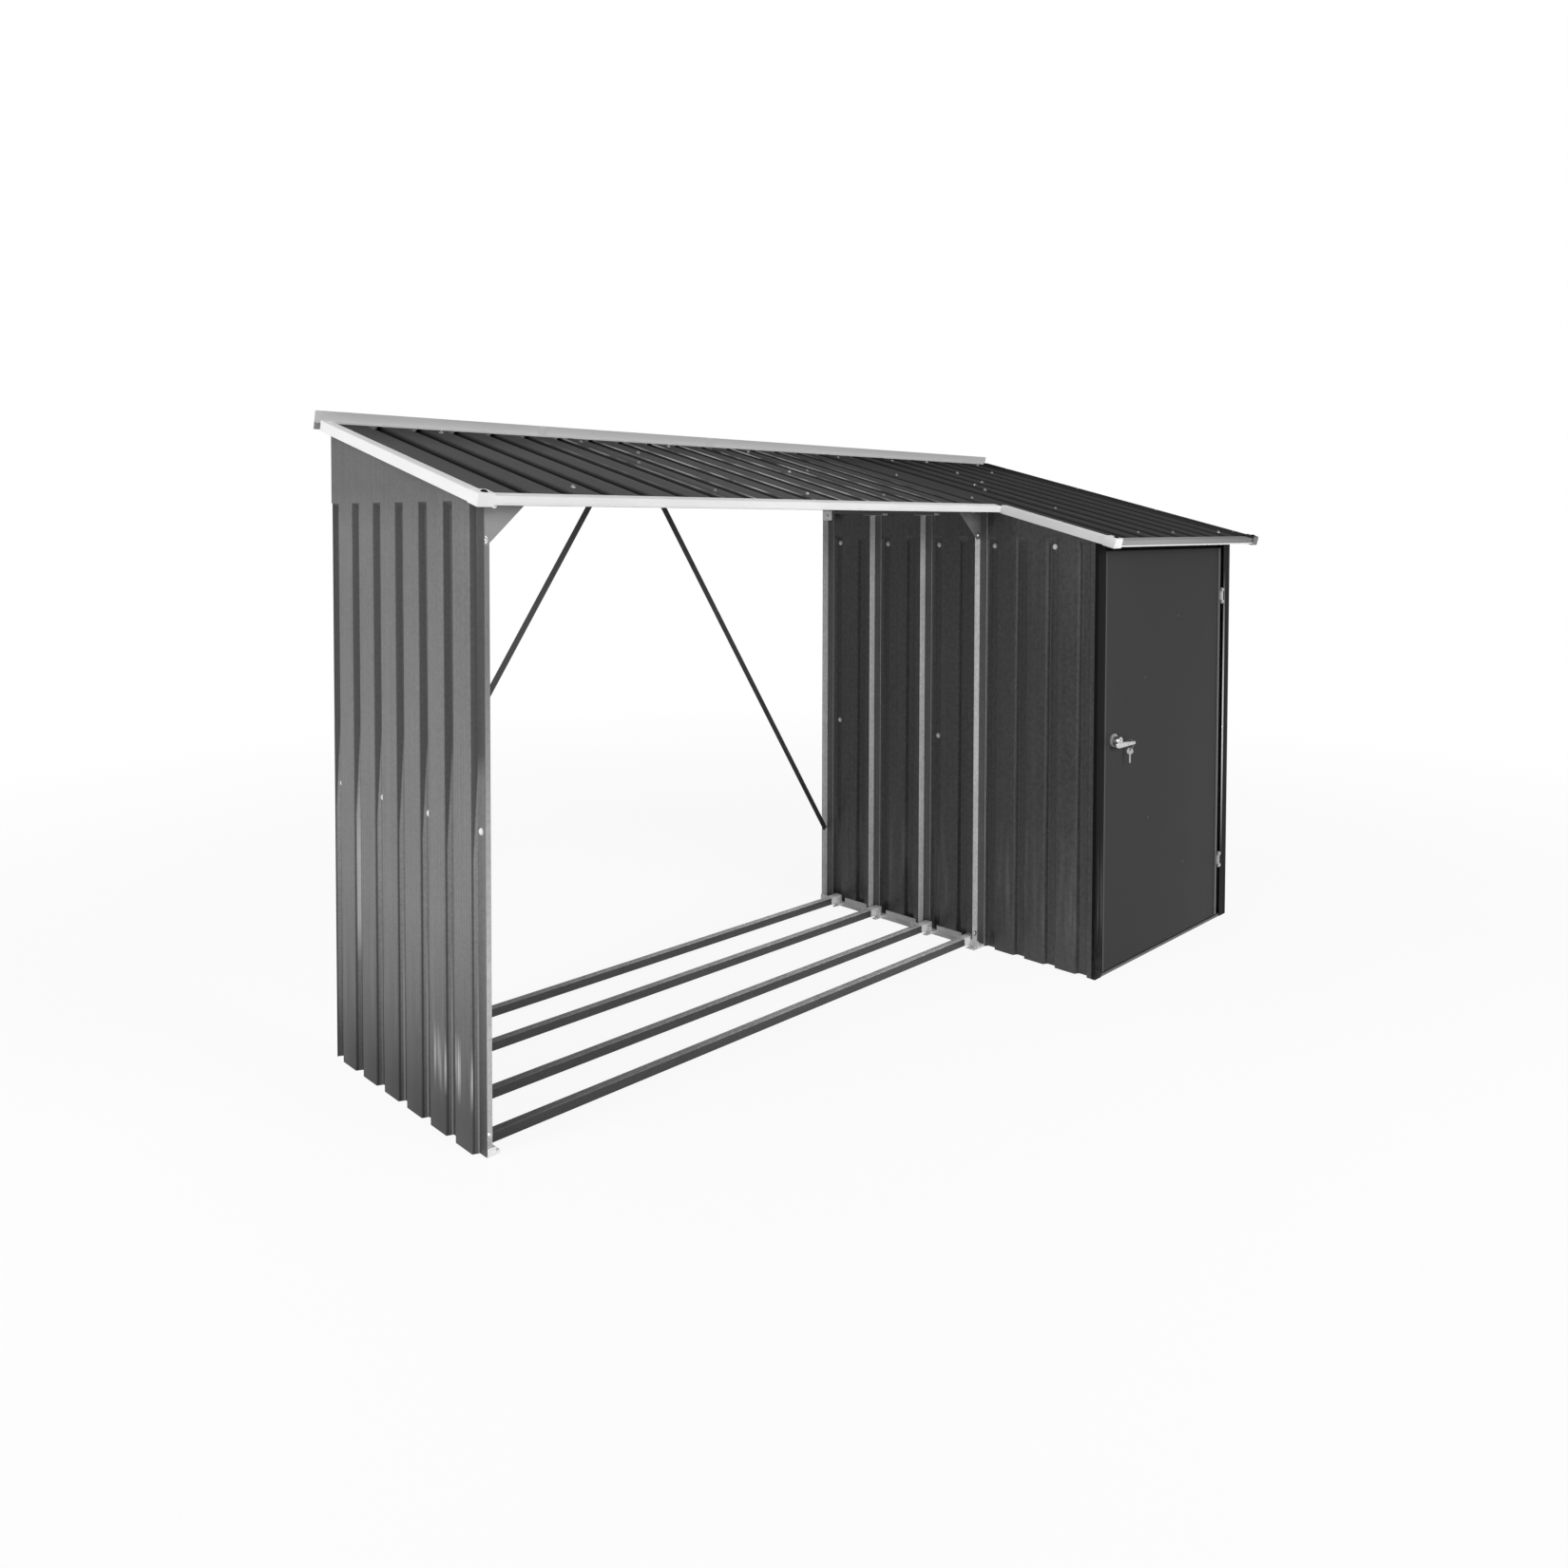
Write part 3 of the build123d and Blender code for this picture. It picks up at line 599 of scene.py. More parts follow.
def make_rib_group():
    """Tone of the ribbed roof: painted shade in its grooves, below the back flashing and towards the right,
    paler on the flats between them, and painted highlights along the rib edges.
    """
    given, result = group("Painted rib shade", ("Tone", "Streaks"), Under=0.0, Middle=0.0)
    x, y, _ = axes(given["Vector"])
    lift = vector_math("DOT_PRODUCT", given["Vector"], ROOF_NORMAL)
    over = minus(lift, given["Under"])
    aside = minus(x, given["Middle"])
    top = between(spread(over, 0.003, 0.0125), (0.1, 1.0))
    lee = dim(spread(y, ORIGIN.y + 0.5, ORIGIN.y + 0.74), 0.55)
    right = dim(spread(aside, 0.0, 0.6), 0.3)
    feed(times(top, lee, right), result["Tone"])
    # Painted highlights along the rib edges, fewer away from the roof's middle
    edge = window(over, (0.0095, 0.0112), (0.0122, 0.0129))
    wear_and_highlight = fall(math("ABSOLUTE", aside), 0.25, 0.75)
    patchy = spread(noise(given["Vector"], 9.0), 0.35, 0.6)
    feed(times(edge, wear_and_highlight, patchy), result["Streaks"])


def make_line_group():
    """Painted highlight down the folded edge of the strip behind the hinges, and painted shade towards its
    outer edge.
    """
    given, result = group("Painted edge highlight", ("Tone", "Streaks"), Edge=0.0)
    x, _, height = axes(given["Vector"])
    over = minus(x, given["Edge"])
    feed(dim(spread(over, 0.018, 0.034), 0.5), result["Tone"])
    line = window(over, (0.001, 0.006), (0.011, 0.018))
    length = window(height, (0.25, 0.65), (0.85, 1.35))
    feed(times(line, length), result["Streaks"])


def make_fade_group():
    """Tone that falls from 1 by an amount between two places along X."""
    given, result = group("Fade", ("Tone",), Start=0.0, End=1.0, Amount=0.3)
    along = minus(axes(given["Vector"])["X"], given["Start"])
    length = minus(given["End"], given["Start"])
    share = math("DIVIDE", along, length, clamp=True)
    feed(dim(share, given["Amount"]), result["Tone"])


# Finishes

DUST_GREY = 0.2
SCUFF_GREY = 0.42
SCUFF_AND_HIGHLIGHT_GREY = 0.78


def place_group(name, vector, **values):
    """Outputs of a node group that is placed in a finish."""
    return add_node("Group", {"Vector": vector, **values}, node_tree=GROUPS[name]).outputs


def shade(colour, share):
    return [part * share for part in colour]


def tint(colour, factor, low, high):
    """Colour between two shares of a base colour."""
    inputs = {
        "A": [min(1, part * low) for part in colour] + [1],
        "B": [min(1, part * high) for part in colour] + [1],
        "Factor": factor,
    }
    return add_node("Mix", inputs, data_type="RGBA").outputs["Result"]


def scale_colour(colour, factor):
    node = add_node("VectorMath", {0: colour}, operation="SCALE")
    feed(factor, node.inputs["Scale"])
    return node.outputs["Vector"]


def cover(colour, grey, mask, most):
    """Colour covered by a grey, at most by the given share."""
    inputs = {"A": colour, "B": (grey, grey, grey, 1), "Factor": times(mask, most)}
    return add_node("Mix", inputs, data_type="RGBA").outputs["Result"]


def new_finish(name):
    """Material with a Principled shader and Object coordinates."""
    material = bpy.data.materials.new(name)
    material.use_nodes = True
    tree = material.node_tree
    place = tree.nodes.new("ShaderNodeTexCoord").outputs["Object"]
    return material, tree.nodes["Principled BSDF"].inputs, place


def surface(shader, colour, gloss, rough, height, lift, distance):
    """Colour, roughness between two ends, and bump of a finish."""
    feed(colour, shader["Base Color"])
    feed(between(gloss, rough), shader["Roughness"])
    inputs = {"Strength": lift, "Distance": distance, "Height": height}
    feed(add_node("Bump", inputs).outputs["Normal"], shader["Normal"])


def coated_sheet(
    name, colour, stretch, rough=(0.3, 0.42), specular=0.5, grain=130.0, lift=0.2, contrast=0.24,
    dusty=True, tone=None, **placed
):
    """Coated steel: embossed grain, rolling streaks, splash dust, and a tone by place that paints shade and
    highlights.
    """
    material, shader, place = new_finish(name)
    grained = place_group("Embossed grain", place, Scale=grain)
    rolled = place_group("Rolling streaks", place, Stretch=stretch)
    mixed = weigh((grained["Specks"], 0.5), (rolled["Streaks"], 0.3), (rolled["Patches"], 0.2))
    coat = tint(colour, mixed, 1 - contrast, 1 + contrast)
    if dusty:
        splash = place_group("Splash dust", place, Reach=0.2)
        coat = cover(coat, DUST_GREY, splash["Dust"], 0.2)
        coat = cover(coat, SCUFF_GREY, splash["Scuffs"], 0.5)
    # The tone by place is painted shade, and its streaks are painted highlights and scuffs
    if tone:
        tones = place_group(tone, place, **placed)
        coat = scale_colour(coat, tones["Tone"])
        if "Streaks" in tones:
            coat = cover(coat, SCUFF_AND_HIGHLIGHT_GREY, tones["Streaks"], 0.75)
    shader["Specular IOR Level"].default_value = specular
    surface(shader, coat, mixed, rough, grained["Height"], lift, 0.0006)
    return material


def zinc_finish(name, colour, metal, rough=(0.42, 0.56), contrast=0.12, shaded=0.0, along=0.0):
    """Galvanised steel: spangle, tone patches and dulled gloss.

    It darkens towards the eave by the shaded share, a painted shade, and pales along the log bay by the
    along share, a painted light.
    """
    material, shader, place = new_finish(name)
    spangle = place_group("Zinc spangle", place, Scale=130.0)
    coat = tint(colour, spangle["Tone"], 1 - contrast, 1 + contrast)
    if shaded:
        upper = spread(axes(place)["Z"], 0.45, 1.2)
        coat = scale_colour(coat, dim(upper, shaded))
    if along:
        ends = {"Start": ORIGIN.x + 0.1, "End": ORIGIN.x + 1.7}
        paler = place_group("Fade", place, **ends, Amount=-along)
        coat = scale_colour(coat, paler["Tone"])
    shader["Metallic"].default_value = metal
    surface(shader, coat, spangle["Tone"], rough, spangle["Height"], 0.12, 0.0004)
    return material


def trim_finish(name, colour, stretch, fade=0.0):
    """Satin coat of the folded roof edges, with faint rain streaks, darker towards the right over the door.
    """
    material, shader, place = new_finish(name)
    grained = place_group("Embossed grain", place, Scale=700.0)
    rolled = place_group("Rolling streaks", place, Stretch=stretch)
    mixed = weigh((rolled["Streaks"], 0.55), (rolled["Patches"], 0.45))
    ends = {"Start": ORIGIN.x + 2.3, "End": ORIGIN.x + 3.1}
    darker_right = place_group("Fade", place, **ends, Amount=fade)
    coat = scale_colour(tint(colour, mixed, 0.94, 1.04), darker_right["Tone"])
    shader["Specular IOR Level"].default_value = 0.4
    surface(shader, coat, mixed, (0.32, 0.48), grained["Height"], 0.1, 0.0004)
    return material


def plated_finish(name, colour):
    """Bright plated steel with faint handling marks."""
    material, shader, place = new_finish(name)
    marks = noise(place, 160.0, 4.0, 0.65)
    wear_and_highlight = spread(marks, 0.35, 0.7)
    shader["Metallic"].default_value = 1.0
    surface(shader, tint(colour, wear_and_highlight, 0.85, 1.12), wear_and_highlight, (0.18, 0.34), marks, 0.08, 0.0003)
    return material


FINISH = {}


class LOGSTORE_OT_finishes(bpy.types.Operator):
    """Make the store's finishes and their shared node groups"""

    bl_idname = "logstore.finishes"
    bl_label = "Finishes"

    def sheets(self, colours):
        wall_streaks = (70.0, 70.0, 0.7)
        # End wall: a lighter coat and a groove tone, both painted light and painted shade
        FINISH["end_wall"] = coated_sheet(
            "Coated end sheet in painted light", colours.lit_end_sheet, wall_streaks,
            tone="Painted groove shade", Face=ORIGIN.x, Front=ORIGIN.y,
        )
        FINISH["wall"] = coated_sheet(
            "Coated wall sheet", colours.sheet, wall_streaks, grain=85.0, lift=0.3, contrast=0.5
        )
        under = at(0, 0, ROOF_UNDER).dot(ROOF_NORMAL)
        # The bay's roof takes the sheet colour 1.5 times lighter than the shed's: painted light and shade on
        # one sheet
        roofs = (("roof", "Coated roof sheet", 1.5), ("shed_roof", "Coated shed roof sheet", 1.0))
        for key, name, share in roofs:
            FINISH[key] = coated_sheet(
                name, shade(colours.sheet, share), (70.0, 0.9, 0.9), rough=(0.56, 0.68), specular=0.03,
                dusty=False, tone="Painted rib shade", Under=under, Middle=ORIGIN.x + 1.25,
            )

    def strips_and_door(self, colours):
        strip = {"stretch": (50.0, 50.0, 0.7), "rough": (0.56, 0.66), "specular": 0.05,
                 "grain": 260.0, "lift": 0.1}
        # Corner strips, header and jambs near black: painted shade
        FINISH["fold"] = coated_sheet("Coated corner strip in painted shade", colours.fold, **strip)
        # Strip behind the hinges: painted highlight down its folded edge, painted shade at its outer edge
        FINISH["hinge_strip"] = coated_sheet(
            "Coated hinge strip with painted highlight", shade(colours.fold, 1.6), **strip, dusty=False,
            tone="Painted edge highlight", Edge=ORIGIN.x + 2.983,
        )
        panel = {"grain": 200.0, "lift": 0.08, "contrast": 0.12, "dusty": False}
        # Door panel darker by 36 % towards its right edge: painted shade
        FINISH["door"] = coated_sheet(
            "Coated door panel", colours.door, (12.0, 12.0, 1.2), rough=(0.5, 0.6), specular=0.1, **panel,
            tone="Fade", Start=ORIGIN.x + DOOR_LEFT, End=ORIGIN.x + DOOR_RIGHT, Amount=0.36,
        )
        # Folded door edges at 1.35 times the door colour: painted light
        FINISH["door_edge"] = coated_sheet(
            "Coated door edge in painted light", shade(colours.door, 1.35), (60.0, 60.0, 0.8), rough=(0.34, 0.44),
            specular=0.4, **panel,
        )

    def steel(self, colours):
        zinc, dull = colours.zinc, colours.dull_zinc
        FINISH["zinc"] = zinc_finish("Galvanised steel", zinc, 0.25)
        # Faces that look to the left: zinc at 0.15, a painted shade
        FINISH["shaded_zinc"] = zinc_finish("Galvanised face in painted shade", shade(zinc, 0.15), 0.25)
        # Left posts: zinc at 0.62, darker towards the eave: painted shade
        FINISH["post_zinc"] = zinc_finish("Post zinc in painted shade", shade(zinc, 0.62), 0.3, shaded=0.68)
        FINISH["hinge_zinc"] = zinc_finish("Hinge steel", shade(zinc, 0.5), 0.4)
        FINISH["bright_zinc"] = zinc_finish(
            "Bright galvanised steel", colours.bright_zinc, 0.05, rough=(0.4, 0.52)
        )
        # Corner plates: zinc darkened as painted shade under the eave
        FINISH["plate_zinc"] = zinc_finish("Galvanised plate", colours.plate_zinc, 0.4)
        FINISH["dull_zinc"] = zinc_finish("Dull galvanised steel", dull, 0.5, contrast=0.2)
        FINISH["dark_zinc"] = zinc_finish("Dark galvanised steel", shade(dull, 0.35), 0.3, contrast=0.2)
        # Rail sides at 0.15 and tops at 0.65 of the dull zinc, both paler towards the right: painted shade
        # and painted light
        FINISH["rail_side"] = zinc_finish("Rail side", shade(dull, 0.15), 0.1, contrast=0.25, along=2.0)
        FINISH["rail_top"] = zinc_finish("Rail top", shade(dull, 0.65), 0.1, contrast=0.25, along=8.0)
        FINISH["plated"] = plated_finish("Plated steel", colours.plated)

    def trims(self, colours):
        FINISH["trim"] = trim_finish("White coated trim", colours.trim, (3.0, 3.0, 1.5))
        FINISH["grey_trim"] = trim_finish("Grey coated trim", colours.grey_trim, (5.0, 3.0, 3.0), 0.55)
        FINISH["flashing"] = trim_finish("Grey coated flashing", colours.flashing, (2.0, 9.0, 9.0))

    def execute(self, context):
        make_grain_group()
        make_streak_group()
        make_spangle_group()
        make_dust_group()
        make_groove_group()
        make_rib_group()
        make_line_group()
        make_fade_group()
        self.sheets(finishes())
        self.strips_and_door(finishes())
        self.steel(finishes())
        self.trims(finishes())
        return {"FINISHED"}


# Sheets, trims and frame: the CAD pieces with the bends of folded steel

SHEETS = {
    "end_wall": ("left_wall",),
    "wall": ("shed_left_wall", "shed_right_wall", "shed_back_wall"),
    "roof": ("bay_roof_sheet_1", "bay_roof_sheet_2", "bay_roof_sheet_3"),
    "shed_roof": ("shed_roof_sheet_1", "shed_roof_sheet_2"),
}
TRIMS = {
    "trim": ("left_verge_trim", "front_eave_trim", "shed_verge_trim"),
    "grey_trim": ("shed_eave_trim",),
    "shed_roof": ("right_verge_trim",),
}
STRIPS = {
    "fold": ("shed_front_left_corner", "shed_back_corners", "door_header", "door_jambs"),
    "hinge_strip": ("shed_front_right_corner",),
}
POSTS = (
    "right_posts", "post_top_plates", "shed_left_head_rail", "shed_right_head_rail", "shed_back_beam",
    "shed_base_rails", "shed_back_posts", "left_head_rail", "right_head_rail", "left_top_rail",
    "right_top_rail", "front_beam", "back_beam",
)
PLATES = {"post_zinc": ("left_posts",), "plate_zinc": ("front_gussets",)}
SHOES = {
    "bright_zinc": ("post_feet", "partition_base_rail"),
    "hinge_zinc": ("hinge_brackets", "hinge_sleeves"),
}
BARS = {"dull_zinc": ("door_threshold",), "dark_zinc": ("back_braces",)}

# Widths of faces: a narrower one is the rest of a cut, or an edge of the sheet
CUT_WIDTH = 0.0012
EDGE_WIDTH = 0.0032


def face_width(face):
    """Width of a long face: its area over its longest edge."""
    return face.calc_area() / max(edge.calc_length() for edge in face.edges)


def is_bend(edge):
    """Whether an edge is a fold between two wide faces."""
    if len(edge.link_faces) != 2 or edge.calc_face_angle(0) < radians(20):
        return False
    return all(face_width(face) > EDGE_WIDTH for face in edge.link_faces)


def fold_copy(node, finish, radius, other=None, facing=None):
    """Copy of a CAD piece whose bends are rounded; its cut edges stay crisp.

    Faces that look the facing way get the other finish.
    """
    source = frame["nodes"][node]
    clear_selection()
    copy = source.copy()
    copy.data = source.data.copy()
    copy.parent = None
    copy.matrix_world = Matrix.Identity(4)
    for key in list(copy.keys()):
        if key.startswith("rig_"):
            del copy[key]
    bpy.context.scene.collection.objects.link(copy)
    copy.name = "bent_" + node
    copy.data.name = copy.name
    edit(copy, "VERT", "SELECT")
    bpy.ops.mesh.remove_doubles(threshold=0.00001)
    bpy.ops.mesh.customdata_custom_splitnormals_clear()
    bpy.ops.mesh.select_mode(type="FACE")
    mesh = bmesh.from_edit_mesh(copy.data)
    for face in mesh.faces:
        face.select_set(face_width(face) > CUT_WIDTH)
    bmesh.update_edit_mesh(copy.data)
    bpy.ops.mesh.dissolve_limited(angle_limit=radians(0.5))
    choose_edges(copy, is_bend)
    bevel(radius, 3, profile=0.5, clamp_overlap=True)
    bpy.ops.mesh.select_mode(type="FACE")
    bpy.ops.mesh.select_all(action="SELECT")
    bpy.ops.mesh.quads_convert_to_tris(quad_method="BEAUTY", ngon_method="BEAUTY")
    leave()
    dress(copy, finish, source["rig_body"], radians(32))
    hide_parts(node)
    if other:
        copy.data.materials.append(FINISH[other])
        for face in copy.data.polygons:
            face.material_index = int(face.normal.dot(Vector(facing)) > 0.7)
    return copy


def fold_all(table, radius):
    for finish, nodes in table.items():
        for node in nodes:
            fold_copy(node, finish, radius)


class LOGSTORE_OT_sheets(bpy.types.Operator):
    """Ribbed wall and roof sheets with rounded bends"""

    bl_idname = "logstore.sheets"
    bl_label = "Ribbed sheets"

    def execute(self, context):
        fold_all(SHEETS, sizes().sheet_bend)
        return {"FINISHED"}


class LOGSTORE_OT_edges(bpy.types.Operator):
    """Roof trims, caps, flashing and corner strips with rounded folds"""

    bl_idname = "logstore.edges"
    bl_label = "Folded edges"

    def caps(self):
        """Corner caps, pressed a little larger than the trims that they cover"""
        caps = fold_copy("corner_caps", "trim", sizes().panel_bend)
        edit(caps, "VERT", "SELECT")
        bpy.ops.transform.shrink_fatten(value=0.0012)
        leave()
        caps.data.materials.append(FINISH["grey_trim"])
        caps.data.materials.append(FINISH["shed_roof"])
        for face in caps.data.polygons:
            if face.center.x > ORIGIN.x + 3:
                face.material_index = 1 if face.normal.y < -0.5 else 2

    def hems(self):
        """Rolled lower edge of each eave"""
        eaves = (("front_eave_hem", 0.002, 2.034, BAY_EAVE), ("shed_eave_hem", 2.076, 3.084, SHED_EAVE))
        for name, left, right, eave in eaves:
            rod = block((left, eave - 0.0042, -0.0062), (right, eave - 0.0002, -0.0012), 0.0016, 3)
            dress(onto_roof(rod), "trim").name = name

    def flashing_joints(self):
        """Cover strips where the lengths of flashing meet"""
        strips = []
        for x in (0.699, 1.417):
            low, high = (x - 0.014, ROOF_BACK - 0.0011, 0.015), (x + 0.014, ROOF_BACK + 0.0001, 0.0438)
            strips.append(onto_roof(block(low, high, 0.0004)))
        dress(join(strips, "flashing_joints"), "flashing")

    def execute(self, context):
        fold_all(TRIMS, sizes().steel_bend)
        self.caps()
        self.hems()
        fold_copy("back_flashing", "flashing", sizes().steel_bend)
        self.flashing_joints()
        fold_all(STRIPS, sizes().steel_bend)
        return {"FINISHED"}


class LOGSTORE_OT_roof_laps(bpy.types.Operator):
    """Raised edges where one roof sheet laps over the next"""

    bl_idname = "logstore.roof_laps"
    bl_label = "Roof laps"

    def execute(self, context):
        laps = []
        seams = ((0.802, BAY_EAVE), (1.546, BAY_EAVE), (2.036, BAY_EAVE), (2.372, SHED_EAVE))
        for x, eave in seams:
            low = (x - 0.019, eave + 0.03, ROOF_TOP - 0.0002)
            high = (x + 0.0015, ROOF_BACK - 0.022, ROOF_TOP + 0.0012)
            laps.append(onto_roof(block(low, high, 0.0005)))
        dress(join(laps, "roof_laps"), "roof")
        return {"FINISHED"}


class LOGSTORE_OT_frame(bpy.types.Operator):
    """Galvanised posts, rails, shoes, hinges and braces with rounded bends"""

    bl_idname = "logstore.frame"
    bl_label = "Steel frame"

    def execute(self, context):
        bend = sizes().steel_bend
        # Faces that look to the left take the zinc in painted shade
        for node in POSTS:
            fold_copy(node, "zinc", bend, "shaded_zinc", LEFT_SIDE)
        fold_all(PLATES, bend)
        fold_all(SHOES, sizes().shoe_bend)
        # Rail tops take painted light, rail sides painted shade
        fold_copy("floor_rails", "rail_side", bend, "rail_top", UP)
        fold_all(BARS, bend)
        return {"FINISHED"}


# Clips and saddles, each with its near and far edge along Y
RIGHT_CLIPS = (
    (0.001, 0.040), (0.068, 0.101), (0.215, 0.236), (0.264, 0.315),
    (0.463, 0.484), (0.512, 0.563), (0.677, 0.691), (0.719, 0.777),
)
LEFT_CLIPS = ((0.069, 0.093), (0.265, 0.287), (0.513, 0.535), (0.720, 0.742))
SADDLES = ((0.041, 0.067), (0.237, 0.263), (0.485, 0.511), (0.692, 0.718))
CLIP_STEEL = 0.002


def angle_clip(long, tall, foot):
    """Bent clip along Y: one leg flat on Z = 0 towards -X, the other upright at X = 0."""
    clip = bar((-foot, -long / 2, 0), (0, long / 2, CLIP_STEEL))
    edit(clip, action="SELECT")
    bpy.ops.mesh.bisect(plane_co=(-CLIP_STEEL, 0, 0), plane_no=RIGHT_SIDE)
    choose_faces(clip, lambda centre, normal: normal.z > 0.9 and centre.x > -CLIP_STEEL)
    extrude(0, 0, tall - CLIP_STEEL)
    choose_edges(clip, sharp)
    bevel(CLIP_STEEL * 0.35)
    leave()
    return clip


class LOGSTORE_OT_clips(bpy.types.Operator):
    """Clips and saddles at the floor rails' ends, plates at the back, and the frame's bolts"""

    bl_idname = "logstore.clips"
    bl_label = "Clips and corner plates"

    def rail_ends(self, right_edge):
        """Clips beside the rails' ends, with the places of their bolts"""
        clips, bolts = [], []
        rows = (
            (RIGHT_CLIPS, right_edge, 0.027, 0.026, -1),
            (LEFT_CLIPS, LEFT_POST_FACE + 0.035, 0.022, 0.024, 1),
        )
        for spans, x, tall, foot, way in rows:
            for near, far in spans:
                middle = (near + far) / 2
                clip = angle_clip(far - near, tall, foot)
                clip.rotation_euler = (0, 0, pi if way > 0 else 0)
                clip.location = at(x, middle, 0)
                settle(clip)
                clips.append(clip)
                bolts.append((at(x + way * 0.014, middle, CLIP_STEEL), UP, near))
        return clips, bolts

    def execute(self, context):
        right_edge = RIGHT_POST_FACE - 0.003
        clips, bolts = self.rail_ends(right_edge)
        for near, far in SADDLES:
            low = at(right_edge - 0.03, near - 0.0013, 0.006)
            high = at(BAY_LENGTH - 0.004, far + 0.0013, 0.0353)
            clips.append(block(low, high, sizes().shoe_bend))
        clips.append(block(at(0.0185, -0.0012, 0), at(0.0415, 0.001, 0.0205), 0.0006))
        for x in (RIGHT_POST_FACE - 0.001, LEFT_POST_FACE + 0.033):
            clips.append(block(at(x - 0.001, 0.727, 1.541), at(x + 0.001, 0.777, 1.579), 0.0006))
        bolts += [
            (at(RIGHT_POST_FACE - 0.002, 0.752, 1.558), LEFT_SIDE, 0.2),
            (at(LEFT_POST_FACE + 0.034, 0.752, 1.558), RIGHT_SIDE, 0.2),
            (at(0.0397, 0.031, 0.0345), FRONT_SIDE, 0.1),
            (at(BAY_LENGTH - 0.0167, 0.031, 0.0445), FRONT_SIDE, 0.5),
        ]
        for left, z in ((0.035, 1.487), (0.062, 1.572), (0.142, 1.578)):
            for x in (left, BAY_LENGTH + LEFT_POST_FACE - left):
                bolts.append((at(x, 0.029, z), FRONT_SIDE, z))
        dress(join(clips, "rail_clips"), "bright_zinc")
        fixings(round_bolt(), bolts, "frame_bolts", "plated")
        return {"FINISHED"}


# Door

HINGE_X, HINGE_Y = 2.9705, -0.446
HINGES = ((0.1977, 0.2543), (1.2253, 1.2819))


class LOGSTORE_OT_door(bpy.types.Operator):
    """Door leaf, its folded edges, rivets and hinge pins"""

    bl_idname = "logstore.door"
    bl_label = "Door"

    def execute(self, context):
        fold_copy("door_leaf", "door", sizes().panel_bend)
        # Lighter strips on both side edges of the leaf: painted light on its folded edges
        edges = []
        sides = ((DOOR_RIGHT - 0.0195, DOOR_RIGHT - 0.001), (DOOR_LEFT + 0.001, DOOR_LEFT + 0.0075))
        for left, right in sides:
            low = at(left, DOOR_FACE - 0.0012, DOOR_LOW + 0.001)
            edges.append(block(low, at(right, DOOR_FACE + 0.0003, DOOR_HIGH - 0.001), 0.0005))
        dress(join(edges, "door_edges"), "door_edge", "door")
        spots = ((2.619, 1.194), (2.376, 0.990), (2.409, 0.488), (2.675, 0.278))
        rivets = [(at(x, DOOR_FACE, z), FRONT_SIDE, x) for x, z in spots]
        fixings(flat_rivet(), rivets, "door_rivets", "door_edge", "door")
        pins = []
        for low, high in HINGES:
            pins += [(at(HINGE_X, HINGE_Y, high), UP, 0), (at(HINGE_X, HINGE_Y, low), DOWN, 0)]
        fixings(pin_head(), pins, "hinge_pin_heads", "hinge_zinc")
        place = [(at(2.9865, -0.4475, 0.743), FRONT_SIDE, 0)]
        fixings(flat_rivet(), place, "strip_rivet", "bright_zinc")
        return {"FINISHED"}


def round_rims(piece, width):
    """Round the sharp edges of a turned piece's upper half."""
    choose_edges(piece, lambda edge: sharp(edge) and edge.verts[0].co.z > 0)
    bevel(width)
    leave()


def onto_door(piece, y):
    """Stand a piece that was turned about Z on the handle's place, its top to the front."""
    settle(piece)
    piece.rotation_euler = (pi / 2, 0, 0)
    settle(piece)
    piece.location = at(HANDLE_X, y, HANDLE_Z)
    settle(piece)


